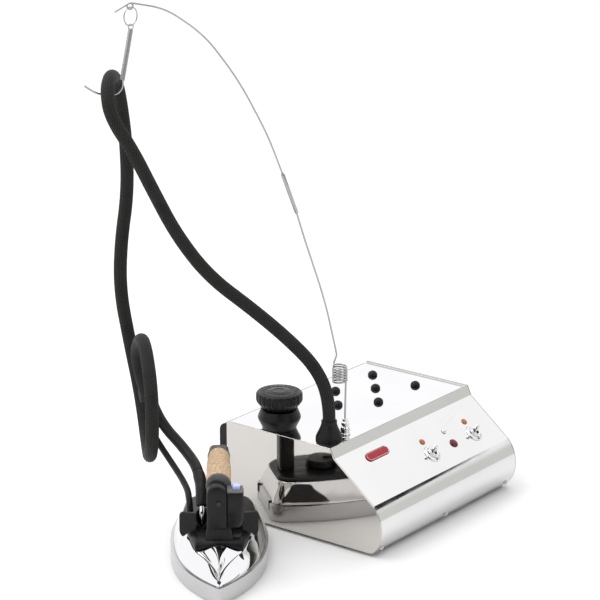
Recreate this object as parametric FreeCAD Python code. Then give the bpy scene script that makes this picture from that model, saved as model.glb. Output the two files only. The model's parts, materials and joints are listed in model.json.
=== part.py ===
import FreeCAD, Part
import math
import os

V = FreeCAD.Vector

# Steam generator iron: a boiler housing with a filler cap and a sprung hose whip,
# a hand iron standing beside it, and the steam hose that joins the two.
# Lengths are millimetres. The model is laid out from the housing's front bottom
# edge (x across, y to the back, z up from the table) and is moved by ORIGIN when
# it is written, so that the origin is under the middle of the rigid pieces.
ORIGIN = V(-97.1, 119.747, 0)

# --- driving dimensions ---------------------------------------------------------
WIDTH = 260.0            # housing, left panel to right panel
SIDE_BACK = 195.0        # where the side panels end and the rear cover begins
REAR_DEPTH = 9.3         # depth of the rear cover
TOP = 109.7              # top edge of the side panels and of the front lip
LIP_Y, LIP_LOW = 54.0, V(0, 49.0, 98.8)      # front lip: top edge and bottom edge
PANEL_LOW = V(0, -2.7, 57.7)                 # bottom edge of the control panel
BULGE = V(0, -13.2, 32.0)                    # foremost line of the rounded front
FRONT_FOOT = V(0, -3.4, 5.4)                 # where the rounded front turns under
TRAY = 107.7             # top face of the mirror tray
SHEET = 1.2
SIDE = 2.0
GAP = 0.1                # between pieces that are fastened together
FREE = 0.35              # between pieces that move on each other
FOOT_HIGH = 3.5
BASE_TOP = 5.0

BOILER_Y, BOILER_Z, BOILER_R = 140.3, 54.0, 43.0
BOILER_LEFT, BOILER_RIGHT = -122.0, 58.0
FILLER = V(-106.3, 140.3, TRAY)
BOOT = V(-102.3, 76.1, TRAY)
WHIP_FOOT = V(-80.4, 71.2, TRAY)
BOW = V(-0.743, 0.669, 0)          # horizontal direction in which the whip bows

HOSE_D, STEAM_LEAD_D, CABLE_D = 14.0, 11.5, 6.8

IRON_TIP = V(-323.6, 47.4, 0)
IRON_TURN = 39.2         # degrees from +X to the line from the iron's tip to its heel
IRON_LONG = 200.0
SOLE_HIGH = 18.7
GRIP_Z = 97.5

X, Y, Z = V(1, 0, 0), V(0, 1, 0), V(0, 0, 1)


# --- small helpers ---------------------------------------------------------------
def box(low, high):
    low, high = V(*low), V(*high)
    size = high - low
    return Part.makeBox(size.x, size.y, size.z, low)


def rod(radius, start, end):
    line = end - start
    return Part.makeCylinder(radius, line.Length, start, line)


def ring(outer, inner, start, end):
    return rod(outer, start, end).cut(rod(inner, start, end))


def join(shapes):
    first, rest = shapes[0], shapes[1:]
    return first.fuse(rest).removeSplitter() if rest else first


def group(shapes):
    return Part.makeCompound(shapes)


def polygon(points):
    return Part.makePolygon([*points, points[0]])


def turned(profile, foot):
    """A solid turned about a vertical axis through foot; profile is (radius, height)."""
    points = [V(r, 0, h) for r, h in profile]
    solid = Part.Face(polygon(points)).revolve(V(), Z, 360)
    solid.translate(foot)
    return solid


def soften(shape, radius, chosen):
    """Fillets the edges that chosen(edge) picks."""
    edges = [e for e in shape.Edges if chosen(e)]
    return shape.makeFillet(radius, edges) if edges else shape


def along(edge, axis):
    if edge.Curve.TypeId != "Part::GeomLine":
        return False
    return abs(edge.tangentAt(edge.FirstParameter).dot(axis)) > 0.999


def bent(points, radii=None):
    """A wire of straight runs joined by tangent arcs.

    Each arc is as large as its two runs allow; radii gives some corners a size of
    their own. Returns the wire and the list of radii."""
    edges, used, here = [], [], points[0]
    for i in range(1, len(points) - 1):
        before, corner, after = points[i - 1:i + 2]
        back, ahead = before - corner, after - corner
        half = (math.pi - back.getAngle(ahead)) / 2
        radius = 0.45 * min(back.Length, ahead.Length) / math.tan(half)
        if radii and i in radii:
            radius = radii[i]
        reach = radius * math.tan(half)
        back.normalize()
        ahead.normalize()
        start, end = corner + back * reach, corner + ahead * reach
        middle = (back + ahead).normalize() * (radius / math.cos(half) - radius) + corner
        edges.append(Part.LineSegment(here, start).toShape())
        edges.append(Part.Arc(start, middle, end).toShape())
        used.append(radius)
        here = end
    edges.append(Part.LineSegment(here, points[-1]).toShape())
    return Part.Wire(edges), used


def pipe(wire, start, heading, radius):
    profile = Part.Wire([Part.Circle(start, heading, radius).toShape()])
    return wire.makePipeShell([profile], True, True)


def tube(points, diameter, name, radii=None):
    """A cord: one plain tube along its route, with its radii and volume printed."""
    wire, used = bent(points, radii)
    solid = pipe(wire, points[0], points[1] - points[0], diameter / 2)
    expected = math.pi * diameter**2 / 4 * wire.Length
    print(f"{name}: length {wire.Length:.1f}, volume / (section x length) {solid.Volume / expected:.4f}")
    print("  radii in diameters: " + " ".join(f"{r / diameter:.1f}" for r in used))
    return solid


def write(name, shape):
    shape = shape.copy()
    shape.translate(-ORIGIN)
    if not shape.isValid():
        print("not valid:", name)
    shape.exportStep(f"parts/{name}.step")
    return shape.BoundBox


# --- the housing -------------------------------------------------------------------
def side_outline(inset=0.0):
    """The housing's side view in the plane x = 0: lip, sloping panel, rounded front."""
    back, high = V(0, SIDE_BACK, TOP), V(0, LIP_Y, TOP)
    lip = [Part.LineSegment(back, high).toShape(), Part.LineSegment(high, LIP_LOW).toShape()]
    panel = Part.LineSegment(LIP_LOW, PANEL_LOW).toShape()
    upper = Part.Arc(PANEL_LOW, V(0, -10.6, 44.6), BULGE).toShape()
    lower = Part.Arc(BULGE, V(0, -10.9, 17.8), FRONT_FOOT).toShape()
    corner, heel = V(0, 0.6, FOOT_HIGH), V(0, SIDE_BACK, FOOT_HIGH)
    under = [Part.LineSegment(FRONT_FOOT, corner).toShape(), Part.LineSegment(corner, heel).toShape()]
    rear = Part.LineSegment(heel, back).toShape()
    wire = Part.Wire([*lip, panel, upper, lower, *under, rear])
    return wire.makeOffset2D(-inset) if inset else wire


def prism(wire, left, right):
    face = Part.Face(wire)
    face.translate(V(left, 0, 0))
    return face.extrude(V(right - left, 0, 0))


HALF = WIDTH / 2
PANEL_DOWN = (PANEL_LOW - LIP_LOW).normalize()
PANEL_OUT = V(0, PANEL_DOWN.z, -PANEL_DOWN.y)
LAMP_ROW, TOGGLE_ROW = 25.3, 42.5           # distances down the panel from the lip
LEFT_COLUMN, MID_COLUMN, RIGHT_COLUMN = 4.5, 46.0, 86.0
AMBER_R, RED_R, SMALL_R = 3.2, 4.8, 2.6
BUSH_R, BUSH_BORE, BUSH_HIGH = 5.6, 4.3, 4.6
TOGGLE_TILT = 14.0


def on_panel(x, down, out=0.0):
    return LIP_LOW + V(x, 0, 0) + PANEL_DOWN * down + PANEL_OUT * out


def panel_rod(radius, x, down, low, high):
    return rod(radius, on_panel(x, down, low), on_panel(x, down, high))


FRONT_SCREW_X = (-120.0, -1.0, 118.0)
FRONT_SCREW_AT, FRONT_SCREW_OUT = V(0, -6.6, 9.4), V(0, -0.86, -0.51)
TOGGLES = ((LEFT_COLUMN, TOGGLE_ROW), (RIGHT_COLUMN, TOGGLE_ROW))
PILOTS = (
    (LEFT_COLUMN, LAMP_ROW, AMBER_R),
    (MID_COLUMN, LAMP_ROW, SMALL_R),
    (RIGHT_COLUMN, LAMP_ROW, AMBER_R),
)
FOOT_X, FOOT_Y, FOOT_R = 108.0, (22.0, 178.0), 9.0


def front_casing():
    """One bent sheet: lip, control panel and rounded front."""
    left, right = -HALF + SIDE + GAP, HALF - SIDE - GAP
    shell = prism(side_outline(), left, right).cut(prism(side_outline(SHEET), left - 1, right + 1))
    keep = box((left - 1, -30, BASE_TOP + GAP), (right + 1, LIP_Y + 1.4, TOP + 1))
    shell = shell.common(keep)
    for x, down in TOGGLES:
        shell = shell.cut(panel_rod(BUSH_R - 0.9, x, down, -6, 4))
    for x, down, radius in (*PILOTS, (MID_COLUMN, TOGGLE_ROW, RED_R)):
        shell = shell.cut(panel_rod(radius + GAP, x, down, -6, 4))
    for x in FRONT_SCREW_X:
        at = FRONT_SCREW_AT + V(x, 0, 0)
        shell = shell.cut(rod(1.6, at - FRONT_SCREW_OUT * 8, at + FRONT_SCREW_OUT * 4))
    return shell


def top_tray():
    left, right = -HALF + SIDE + GAP, HALF - SIDE - GAP
    tray = box((left, LIP_Y + 1.6, TRAY - SHEET), (right, SIDE_BACK - GAP, TRAY))
    for foot, radius in ((FILLER, 12.2), (BOOT, 9.2), (WHIP_FOOT, 3.2)):
        tray = tray.cut(rod(radius, foot - Z * 5, foot + Z * 5))
    return tray


def side_panel(side):
    low = min(side * HALF, side * (HALF - SIDE))
    panel = prism(side_outline(), low, low + SIDE)
    outer = side * HALF
    return soften(panel, 0.7, lambda e: abs(e.CenterOfMass.x - outer) < 1e-3)


def bottom_plate():
    inside = HALF - SIDE - GAP
    plate = box((-inside, 2.5, FOOT_HIGH), (inside, SIDE_BACK - GAP, BASE_TOP))
    for x in (-60, 0, 60):
        for y in (60, 78, 96):
            slot = box((x - 18, y - 2, 0), (x + 18, y + 2, 9))
            plate = plate.cut(soften(slot, 1.9, lambda e: along(e, Z)))
    for x in (-FOOT_X, FOOT_X):
        for y in FOOT_Y:
            plate = plate.cut(rod(2.1, V(x, y, 0), V(x, y, 9)))
    return plate


GLAND = V(95, SIDE_BACK + REAR_DEPTH, 30)
GLAND_BORE = 3.6
REAR_SCREWS = ((-118, 20), (118, 20), (-118, 92), (118, 92))


def rear_cover():
    """A black tray over the back, rounded along its edges; its top lies below the tray's."""
    front, back, top = SIDE_BACK + GAP, SIDE_BACK + REAR_DEPTH, TOP - 3.2
    shell = box((-HALF, front, FOOT_HIGH), (HALF, back, top))
    at_top = lambda e: along(e, X) and abs(e.CenterOfMass.y - back) < 1e-3 and e.CenterOfMass.z > 50
    shell = soften(shell, REAR_DEPTH - 0.6, at_top)
    at_foot = lambda e: along(e, X) and abs(e.CenterOfMass.y - back) < 1e-3 and e.CenterOfMass.z < 50
    shell = soften(shell, 4.0, at_foot)
    wall = 2.0
    hollow = box((-HALF + wall, front - 1, FOOT_HIGH + wall), (HALF - wall, back - wall, top - wall))
    inner_top = lambda e: along(e, X) and e.CenterOfMass.y > back - wall - 1 and e.CenterOfMass.z > 50
    shell = shell.cut(soften(hollow, REAR_DEPTH - wall - 0.8, inner_top))
    for row in range(4):
        z = 62 + 8 * row
        slot = box((-70, back - 4, z - 1.7), (70, back + 1, z + 1.7))
        shell = shell.cut(soften(slot, 1.6, lambda e: along(e, Y)))
    shell = shell.cut(rod(6.1, GLAND - Y * 6, GLAND + Y * 2))
    for x, z in REAR_SCREWS:
        shell = shell.cut(rod(1.6, V(x, back - 6, z), V(x, back + 2, z)))
    return shell


def mains_gland():
    back = GLAND.y
    body = rod(6.0, V(GLAND.x, back - 8, GLAND.z), V(GLAND.x, back + 1, GLAND.z))
    collar = rod(9.0, V(GLAND.x, back + GAP, GLAND.z), V(GLAND.x, back + 3, GLAND.z))
    nose = Part.makeCone(7.5, 5.6, 11, V(GLAND.x, back + 3, GLAND.z), Y)
    bore = rod(GLAND_BORE, V(GLAND.x, back - 9, GLAND.z), V(GLAND.x, back + 20, GLAND.z))
    return join([body, collar, nose]).cut(bore)


def case_screws():
    """Domed screws: three under the rounded front, four in the rear cover."""
    screws = []
    for x in FRONT_SCREW_X:
        at = FRONT_SCREW_AT + V(x, 0, 0) + FRONT_SCREW_OUT * 0.4
        head = Part.makeCone(2.9, 2.0, 1.6, at, FRONT_SCREW_OUT)
        shank = rod(1.45, at - FRONT_SCREW_OUT * 5, at + FRONT_SCREW_OUT * 0.5)
        driver = rod(0.8, at + FRONT_SCREW_OUT * 0.7, at + FRONT_SCREW_OUT * 2)
        screws.append(join([head, shank]).cut(driver))
    back = SIDE_BACK + REAR_DEPTH
    for x, z in REAR_SCREWS:
        at = V(x, back + GAP, z)
        head = Part.makeCone(3.0, 2.0, 1.6, at, Y)
        screws.append(join([head, rod(1.45, at - Y * 7, at + Y)]).cut(rod(0.8, at + Y * 0.7, at + Y * 2)))
    return group(screws)


def rubber_feet():
    feet = []
    for x in (-FOOT_X, FOOT_X):
        for y in FOOT_Y:
            disc = Part.makeCone(FOOT_R - 1, FOOT_R, FOOT_HIGH - GAP, V(x, y, 0), Z)
            feet.append(join([disc, rod(2.0, V(x, y, 2), V(x, y, BASE_TOP + 2))]))
    return group(feet)


PAD_PITCH_X, PAD_PITCH_Y = 35.5, 29.8
PAD_CELLS = ((0, 0), (0, 2), (1, 1), (2, 0), (2, 2), (3, 1))
PAD_FIRST = V(94.8, 162.0, TRAY)
PAD_R = 5.4


def rest_pads():
    """Six rubber domes, set in a five-spot pattern, on which the hot iron is parked."""
    pads = []
    for column, row in PAD_CELLS:
        centre = PAD_FIRST - X * PAD_PITCH_X * column - Y * PAD_PITCH_Y * row
        pads.append(Part.makeSphere(PAD_R, centre + Z * GAP, Z, 0, 90, 360))
    return group(pads)


# --- boiler and what is fixed to it -------------------------------------------------
ELEMENT_AT, PRESSURE_AT, CUTOUT_AT = V(0, 140.3, 40), V(0, 159, 72), V(0, 113, 54)
TAKE_OFF = V(-74, 0, 86)


def boiler_axis(x):
    return V(x, BOILER_Y, BOILER_Z)


def boiler_shell():
    outer = rod(BOILER_R, boiler_axis(BOILER_LEFT), boiler_axis(BOILER_RIGHT))
    outer = soften(outer, 6, lambda e: True)
    inner = rod(BOILER_R - 1.5, boiler_axis(BOILER_LEFT + 2), boiler_axis(BOILER_RIGHT - 2))
    shell = outer.cut(soften(inner, 4.8, lambda e: True))
    shell = shell.cut(rod(11.9 + GAP, V(FILLER.x, FILLER.y, 80), FILLER))
    shell = shell.cut(rod(12.0, V(40, ELEMENT_AT.y, ELEMENT_AT.z), V(70, ELEMENT_AT.y, ELEMENT_AT.z)))
    shell = shell.cut(rod(2.5, V(40, PRESSURE_AT.y, PRESSURE_AT.z), V(70, PRESSURE_AT.y, PRESSURE_AT.z)))
    return shell.cut(rod(3.1, V(TAKE_OFF.x, 90, TAKE_OFF.z), V(TAKE_OFF.x, 130, TAKE_OFF.z)))


BRACKET_X = (-50.0, 30.0)


def boiler_brackets():
    saddles = []
    for x in BRACKET_X:
        block = box((x - 7, BOILER_Y - 30, BASE_TOP + GAP), (x + 7, BOILER_Y + 30, 30))
        hollow = rod(BOILER_R + GAP, boiler_axis(x - 10), boiler_axis(x + 10))
        saddles.append(block.cut(hollow))
    return group([solid for saddle in saddles for solid in saddle.Solids])


def heating_element():
    """A screwed flange on the boiler's right end, with a U-shaped sheathed element."""
    y, z = ELEMENT_AT.y, ELEMENT_AT.z
    flange = rod(15, V(BOILER_RIGHT + GAP, y, z), V(BOILER_RIGHT + 6, y, z))
    plug = rod(11.9, V(BOILER_RIGHT - 3, y, z), V(BOILER_RIGHT + 1, y, z))
    pins = [rod(1.6, V(BOILER_RIGHT + 5, y + s, z), V(BOILER_RIGHT + 14, y + s, z)) for s in (-7, 7)]
    far, bend, foot = -70.0, 7.0, BOILER_RIGHT - 2.5
    legs = Part.Wire([
        Part.LineSegment(V(foot, y - bend, z), V(far, y - bend, z)).toShape(),
        Part.Arc(V(far, y - bend, z), V(far - bend, y, z), V(far, y + bend, z)).toShape(),
        Part.LineSegment(V(far, y + bend, z), V(foot, y + bend, z)).toShape(),
    ])
    return join([flange, plug, *pins, pipe(legs, V(foot, y - bend, z), X, 3.3)])


def end_fitting(at, radius, length, stub=2.4):
    start = V(BOILER_RIGHT + GAP, at.y, at.z)
    body = rod(radius, start, start + X * length)
    return join([body, rod(stub, start - X * 3, start + X)])


def spade_tabs(end, half):
    """Two flat terminals standing out of a fitting's end face."""
    return [Part.makeBox(8, 0.8, 6, end + V(-1, side - 0.4, -3)) for side in (-half, half)]


def pressure_switch():
    length = 24
    end = V(BOILER_RIGHT + length, PRESSURE_AT.y, PRESSURE_AT.z)
    return join([end_fitting(PRESSURE_AT, 11, length), *spade_tabs(end, 5)])


def safety_thermostat():
    start = V(BOILER_RIGHT + GAP, CUTOUT_AT.y, CUTOUT_AT.z)
    return join([rod(8, start, start + X * 6), *spade_tabs(start + X * 6, 4)])


def filler_neck():
    low, high = V(FILLER.x, FILLER.y, 93), FILLER + Z * 8
    return ring(11.9, 9.6, low, high)


VALVE_LOW, VALVE_HIGH = 74.0, 97.0


def solenoid_valve():
    """Valve body under the hose outlet, with its coil below it on a foot."""
    block = box((BOOT.x - 12, BOOT.y - 12, VALVE_LOW), (BOOT.x + 12, BOOT.y + 12, VALVE_HIGH))
    block = soften(block, 2, lambda e: along(e, Z))
    coil = rod(16, V(BOOT.x, BOOT.y, 40), V(BOOT.x, BOOT.y, VALVE_LOW + 0.5))
    lug = box((BOOT.x + 15, BOOT.y - 6, 50), (BOOT.x + 25, BOOT.y + 6, 62))
    foot = rod(9, V(BOOT.x, BOOT.y, BASE_TOP + GAP), V(BOOT.x, BOOT.y, 40.5))
    return join([block, coil, lug, foot])


def steam_pipe():
    """Copper pipe from the boiler's front to the solenoid valve."""
    z = TAKE_OFF.z
    route = [V(BOOT.x + 12 + GAP, BOOT.y, z), V(TAKE_OFF.x, BOOT.y, z), V(TAKE_OFF.x, 115, z)]
    wire, _ = bent(route, {1: 10.0})
    return pipe(wire, route[0], X, 3.0)


# --- control panel -------------------------------------------------------------------
def toggle_switches():
    """Two switch bodies behind the panel, with their threaded bushes and nuts."""
    units = []
    for x, down in TOGGLES:
        body = box((x - 7, 0, -22), (x + 7, 28, 0))
        body.translate(V(0, -14, -SHEET - GAP))
        turn = math.degrees(math.atan2(-PANEL_OUT.y, PANEL_OUT.z))
        body.rotate(V(x, 0, 0), X, turn)
        body.translate(on_panel(0, down))
        units.append(body.cut(panel_rod(BUSH_BORE, x, down, -9, 1)))
    return group(units)


def hexagon(x, down, across, low, high):
    radius = across / math.sqrt(3)
    base = on_panel(x, down, low)
    corners = []
    for i in range(6):
        a = math.radians(60 * i)
        corners.append(base + X * radius * math.cos(a) + PANEL_DOWN * radius * math.sin(a))
    return Part.Face(polygon(corners)).extrude(PANEL_OUT * (high - low))


def toggle_nuts():
    nuts = []
    for x, down in TOGGLES:
        nut = hexagon(x, down, 13.5, GAP, 2.2)
        washer = panel_rod(10.4, x, down, GAP, 0.9)
        bush = panel_rod(BUSH_R - 1, x, down, -SHEET, BUSH_HIGH)
        nuts.append(join([nut, washer, bush]).cut(panel_rod(BUSH_BORE - 0.6, x, down, -3, BUSH_HIGH + 1)))
    return group(nuts)


def toggle_pivot(x, down):
    return on_panel(x, down, 0.6)


def toggle_lever(x, down):
    """A bat-shaped lever, resting tilted up the slope."""
    pivot = toggle_pivot(x, down)
    tilt = math.radians(TOGGLE_TILT)
    heading = PANEL_OUT * math.cos(tilt) - PANEL_DOWN * math.sin(tilt)
    shank = Part.makeCone(1.5, 2.5, 10.0, pivot, heading)
    tip = Part.makeSphere(2.52, pivot + heading * 9.9)
    ball = Part.makeSphere(3.0, pivot)
    return join([shank, tip, ball])


def lamp(x, down, radius, dome):
    """A lens with a domed head, its barrel running down through the panel."""
    barrel = panel_rod(radius, x, down, -12, 0.8)
    head = Part.makeSphere(radius + 0.5, V(), Z, 0, 90, 360)
    scale = FreeCAD.Matrix()
    scale.scale(1, 1, dome / (radius + 0.5))
    head = head.transformGeometry(scale)
    head.Placement = FreeCAD.Placement(on_panel(x, down, GAP), FreeCAD.Rotation(Z, PANEL_OUT))
    return join([barrel, head])


def badge_plate():
    """A blank red name plate with round ends, glued to the panel."""
    left, right, high, low = -87.5, -49.0, 9.8, 20.4
    radius = (low - high) / 2
    middle = (low + high) / 2
    a, b = on_panel(left + radius, high, GAP), on_panel(right - radius, high, GAP)
    c, d = on_panel(right - radius, low, GAP), on_panel(left + radius, low, GAP)
    outline = Part.Wire([
        Part.LineSegment(a, b).toShape(),
        Part.Arc(b, on_panel(right, middle, GAP), c).toShape(),
        Part.LineSegment(c, d).toShape(),
        Part.Arc(d, on_panel(left, middle, GAP), a).toShape(),
    ])
    return Part.Face(outline).extrude(PANEL_OUT * 1.2)


# --- filler collar and pressure cap -----------------------------------------------------
def filler_collar():
    """Black funnel round the filler neck: widest at mid height, open at the top."""
    outside = [(18.2, 0), (19.6, 3.5), (22.6, 9.5), (23.4, 11.8), (23.0, 14.2), (20.0, 21.6)]
    inside = [(18.2, 21.6), (14.0, 14), (12.9, 9), (12.1, 8.4), (12.1, 0)]
    return turned([(r, h + GAP) for r, h in outside + inside], FILLER)


CAP_LOW, CAP_TOP, CAP_R = 23.6, 42.3, 25.2


def cap_shell():
    """The turning knob of the cap: chamfered below, ribbed rim, lightly domed top."""
    rim = [(18.6, CAP_LOW), (CAP_R, 31), (CAP_R - 0.4, 39.5), (CAP_R - 2.4, 41.4)]
    top = [(12, CAP_TOP - 0.2), (0, CAP_TOP)]
    socket = [(0, 36), (13.4, 36), (13.4, CAP_LOW)]
    shell = turned(rim + top + socket, FILLER)
    ribs = 24
    for i in range(ribs):
        a = 2 * math.pi * i / ribs
        at = FILLER + V(math.cos(a), math.sin(a), 0) * (CAP_R + 1.0)
        shell = shell.cut(rod(1.9, at + Z * 30, at + Z * 42))
    return shell


def cap_core():
    """The plug that screws into the neck, carried inside the knob."""
    profile = [(0, -7), (8.2, -7), (9.25, -5.5), (9.25, 8.4), (9.2, 10.6), (11.8, 12.2),
               (11.8, 22), (13.0, 24), (13.0, 35.6), (0, 35.6)]
    return turned(profile, FILLER)


def cap_gasket():
    return ring(12.0, 9.3, FILLER + Z * (8 + FREE), FILLER + Z * 10.4)


# --- hose outlet and whip -----------------------------------------------------------------
BOOT_HIGH = 20.0


def hose_boot():
    """Rubber boot, flared at its foot, with a spigot down through the tray."""
    outside = [(14.5, 0), (14.2, 3), (12.6, 7), (10.2, 11.5), (8.4, 16), (7.9, BOOT_HIGH)]
    boot = turned([(0, GAP), *[(r, max(h, GAP)) for r, h in outside], (0, BOOT_HIGH)], BOOT)
    return join([boot, rod(9.0, V(BOOT.x, BOOT.y, VALVE_HIGH + GAP), BOOT + Z * 1)])


def bow_point(reach, height):
    """A point in the whip's plane: reach along the bow, height above the tray."""
    return WHIP_FOOT + BOW * reach + Z * height


WIRE_R = 1.0
COIL_LOW, COIL_HIGH, COIL_R, COIL_TURNS = 59.0, 78.0, 6.7, 6.5
WHIP_ROUTE = [bow_point(s, z) for s, z in ((9.3, 84), (22, 150), (45, 222), (52.5, 248))]
FERRULE = (bow_point(52.5, 248), bow_point(67, 289.5))
ROD_ROUTE = [bow_point(s, z) for s, z in
             ((67.4, 290.6), (83, 333), (113, 392), (148, 440), (187, 468), (221, 474.5))]


def antenna_socket():
    """Plated socket bolted through the tray, split at its top to clamp the wire."""
    foot = WHIP_FOOT
    body = join([rod(6.0, foot + Z * GAP, foot + Z * 2.0), rod(4.4, foot + Z * 2.0, foot + Z * 14.4)])
    shank = rod(3.0, foot - Z * 9, foot + Z * 1)
    nut = rod(5.4, foot - Z * (SHEET + 5), foot - Z * (SHEET + GAP))
    body = join([body, shank, nut])
    body = body.cut(rod(WIRE_R + 0.05, foot + Z * 7, foot + Z * 20))
    across = V(BOW.y, -BOW.x, 0)
    slot = box((-0.5, -6, 0), (0.5, 6, 6))
    slot.rotate(V(), Z, math.degrees(math.atan2(across.y, across.x)) - 90)
    slot.translate(foot + Z * 9)
    return body.cut(slot)


def antenna_spring():
    """Foot of the whip: a straight wire and the open coil that lets the whip bend."""
    route = [bow_point(0, 7.2), bow_point(0, 14.6), bow_point(-0.5, COIL_LOW - 1.6)]
    wire, _ = bent(route, {1: 30.0})
    stem = pipe(wire, route[0], Z, WIRE_R)
    high = COIL_HIGH - COIL_LOW
    helix = Part.makeHelix(high / COIL_TURNS, high, COIL_R)
    profile = Part.Wire([Part.Circle(V(COIL_R, 0, 0), Y, WIRE_R).toShape()])
    coil = Part.Wire(helix.Edges).makePipeShell([profile], True, True)
    coil.translate(bow_point(6.2, COIL_LOW))
    return group([stem, coil])


def antenna_whip():
    """Upper wire, from the coil's top to the ferrule, with a crank over the coil."""
    rim = bow_point(6.2, COIL_HIGH) + BOW * COIL_R + Z * 2.6
    crank = [rim, rim + Z * 4 - BOW * 1.5, WHIP_ROUTE[0] + Z * 6, *WHIP_ROUTE[1:]]
    wire, _ = bent(crank)
    return pipe(wire, crank[0], crank[1] - crank[0], WIRE_R)


def whip_ferrule():
    low, high = FERRULE
    line = (high - low).normalize()
    sleeve = rod(2.1, low + line * 0.1, high)
    nose = Part.makeCone(2.1, 1.4, 3, high, line)
    return join([sleeve, nose.cut(rod(0.95, high, high + line * 4))])


EYE = bow_point(222.3, 471.2)
EYE_R = 3.0


def whip_tip():
    """Thin end of the whip, with a small eye for the ring and a turned-down tail."""
    wire, _ = bent(ROD_ROUTE)
    thin = 0.9
    stem = pipe(wire, ROD_ROUTE[0], ROD_ROUTE[1] - ROD_ROUTE[0], thin)
    across = V(BOW.y, -BOW.x, 0)
    eye = Part.makeTorus(EYE_R, thin, EYE, across)
    tail = rod(thin, EYE + Z * EYE_R * 0.8 + BOW * 1.8, bow_point(238, 465.8))
    return join([stem, eye, tail])


RING_R, RING_WIRE = 9.3, 0.8
RING_AT = EYE - Z * (EYE_R - 0.9 + RING_R - RING_WIRE - FREE) - BOW * 0.4


def hook_ring():
    """Split ring hanging in the whip's eye; its plane holds the bow direction."""
    across = V(BOW.y, -BOW.x, 0)
    facing = (across * 0.45 + BOW * 0.89).normalize()
    return Part.makeTorus(RING_R, RING_WIRE, RING_AT, facing)


SPRING_TOP = RING_AT - Z * (RING_R + 3.4)
SPRING_LOW = bow_point(231.5, 396.5)
SPRING_R = 2.7


def hook_spring():
    """Close-wound tension spring, as the plain tube that its turns make."""
    facing = V(BOW.y, -BOW.x, 0) * 0.89 - BOW * 0.45
    eye = Part.makeTorus(2.6, 0.6, RING_AT - Z * (RING_R + 1.2), facing)
    return join([ring(SPRING_R, 1.6, SPRING_TOP, SPRING_LOW), eye])


HOOK_ROUTE = [bow_point(reach, height) for reach, height in
              ((231.2, 398.5), (231, 389.5), (236, 382.3), (247.5, 380.6), (259.5, 384), (270, 391.5))]


def hose_hook():
    """Open wire hook below the spring; the hose hangs over it."""
    wire, _ = bent(HOOK_ROUTE)
    return pipe(wire, HOOK_ROUTE[0], HOOK_ROUTE[1] - HOOK_ROUTE[0], 1.05)


# --- the hand iron, laid out from its tip: x to the heel, y to its left, z up ------------
def seat_iron(shape):
    shape = shape.copy()
    turn = FreeCAD.Rotation(Z, IRON_TURN)
    shape.Placement = FreeCAD.Placement(IRON_TIP, turn).multiply(shape.Placement)
    return shape


def iron_point(a, b, z):
    return IRON_TIP + FreeCAD.Rotation(Z, IRON_TURN).multVec(V(a, b, z))


def sole_outline(inset, z, front=0.0, shrink=1.0):
    """Outline of the sole: two bowed sides from a blunt tip to a rounded heel."""
    def side(sign):
        spots = [(1.5, 2.4), (37, 29.0), (106, 50.0), (150, 51.0), (184, 46.0), (198, 38.5), (IRON_LONG, 24)]
        return [V(front + a * (IRON_LONG - front) / IRON_LONG, sign * b * shrink, z) for a, b in spots]
    left, right = side(1), side(-1)
    edges = [Part.Arc(right[0], V(front, 0, z), left[0]).toShape()]
    edges.append(Part.Arc(left[0], left[1], left[2]).toShape())
    edges.append(Part.Arc(left[2], left[3], left[4]).toShape())
    edges.append(Part.Arc(left[4], left[5], left[6]).toShape())
    edges.append(Part.LineSegment(left[6], right[6]).toShape())
    edges.append(Part.Arc(right[6], right[5], right[4]).toShape())
    edges.append(Part.Arc(right[4], right[3], right[2]).toShape())
    edges.append(Part.Arc(right[2], right[1], right[0]).toShape())
    wire = Part.Wire(edges)
    return wire.makeOffset2D(-inset) if inset else wire


HEATER_HALF, HEATER_TIP, HEATER_END, HEATER_R, HEATER_Z = 27.0, 66.0, 176.0, 4.1, 14.2


def heater_path(z):
    """Centre line of the sole's heating element: a long U, open at the heel."""
    out, tip_x, end_x = HEATER_HALF, HEATER_TIP, HEATER_END
    return Part.Wire([
        Part.LineSegment(V(end_x, -out, z), V(tip_x + out, -out, z)).toShape(),
        Part.Arc(V(tip_x + out, -out, z), V(tip_x, 0, z), V(tip_x + out, out, z)).toShape(),
        Part.LineSegment(V(tip_x + out, out, z), V(end_x, out, z)).toShape(),
    ])


def soleplate():
    """Aluminium sole with a groove for its element and rows of steam holes."""
    rim = 1.0
    sole = join([
        Part.makeLoft([sole_outline(rim, 0), sole_outline(0, rim)], True, True),
        Part.Face(sole_outline(0, rim)).extrude(Z * (SOLE_HIGH - rim)),
    ])
    low, high = HEATER_Z - HEATER_R - GAP, SOLE_HIGH + 1
    turn = V(HEATER_TIP + HEATER_HALF, 0, 0)
    bend = ring(HEATER_HALF + HEATER_R + GAP, HEATER_HALF - HEATER_R - GAP, turn + Z * low, turn + Z * high)
    sole = sole.cut(bend.common(box((0, -60, low), (turn.x, 60, high))))
    for side in (-HEATER_HALF, HEATER_HALF):
        half = HEATER_R + GAP
        sole = sole.cut(box((turn.x, side - half, low), (IRON_LONG + 1, side + half, high)))
    for a, half in ((24, 9), (42, 18), (62, 25), (84, 30)):
        for b in (-half, 0, half):
            sole = sole.cut(rod(1.6, V(a, b, -1), V(a, b, 7)))
    for a in (108, 130, 152):
        for b in (-34, 34):
            sole = sole.cut(rod(1.6, V(a, b, -1), V(a, b, 7)))
    return sole


def sole_heater():
    legs = pipe(heater_path(HEATER_Z), V(HEATER_END, -HEATER_HALF, HEATER_Z), X, HEATER_R)
    pins = [rod(1.5, V(HEATER_END - 1, s, HEATER_Z), V(HEATER_END + 8, s, HEATER_Z))
            for s in (-HEATER_HALF, HEATER_HALF)]
    return join([legs, *pins])


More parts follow.
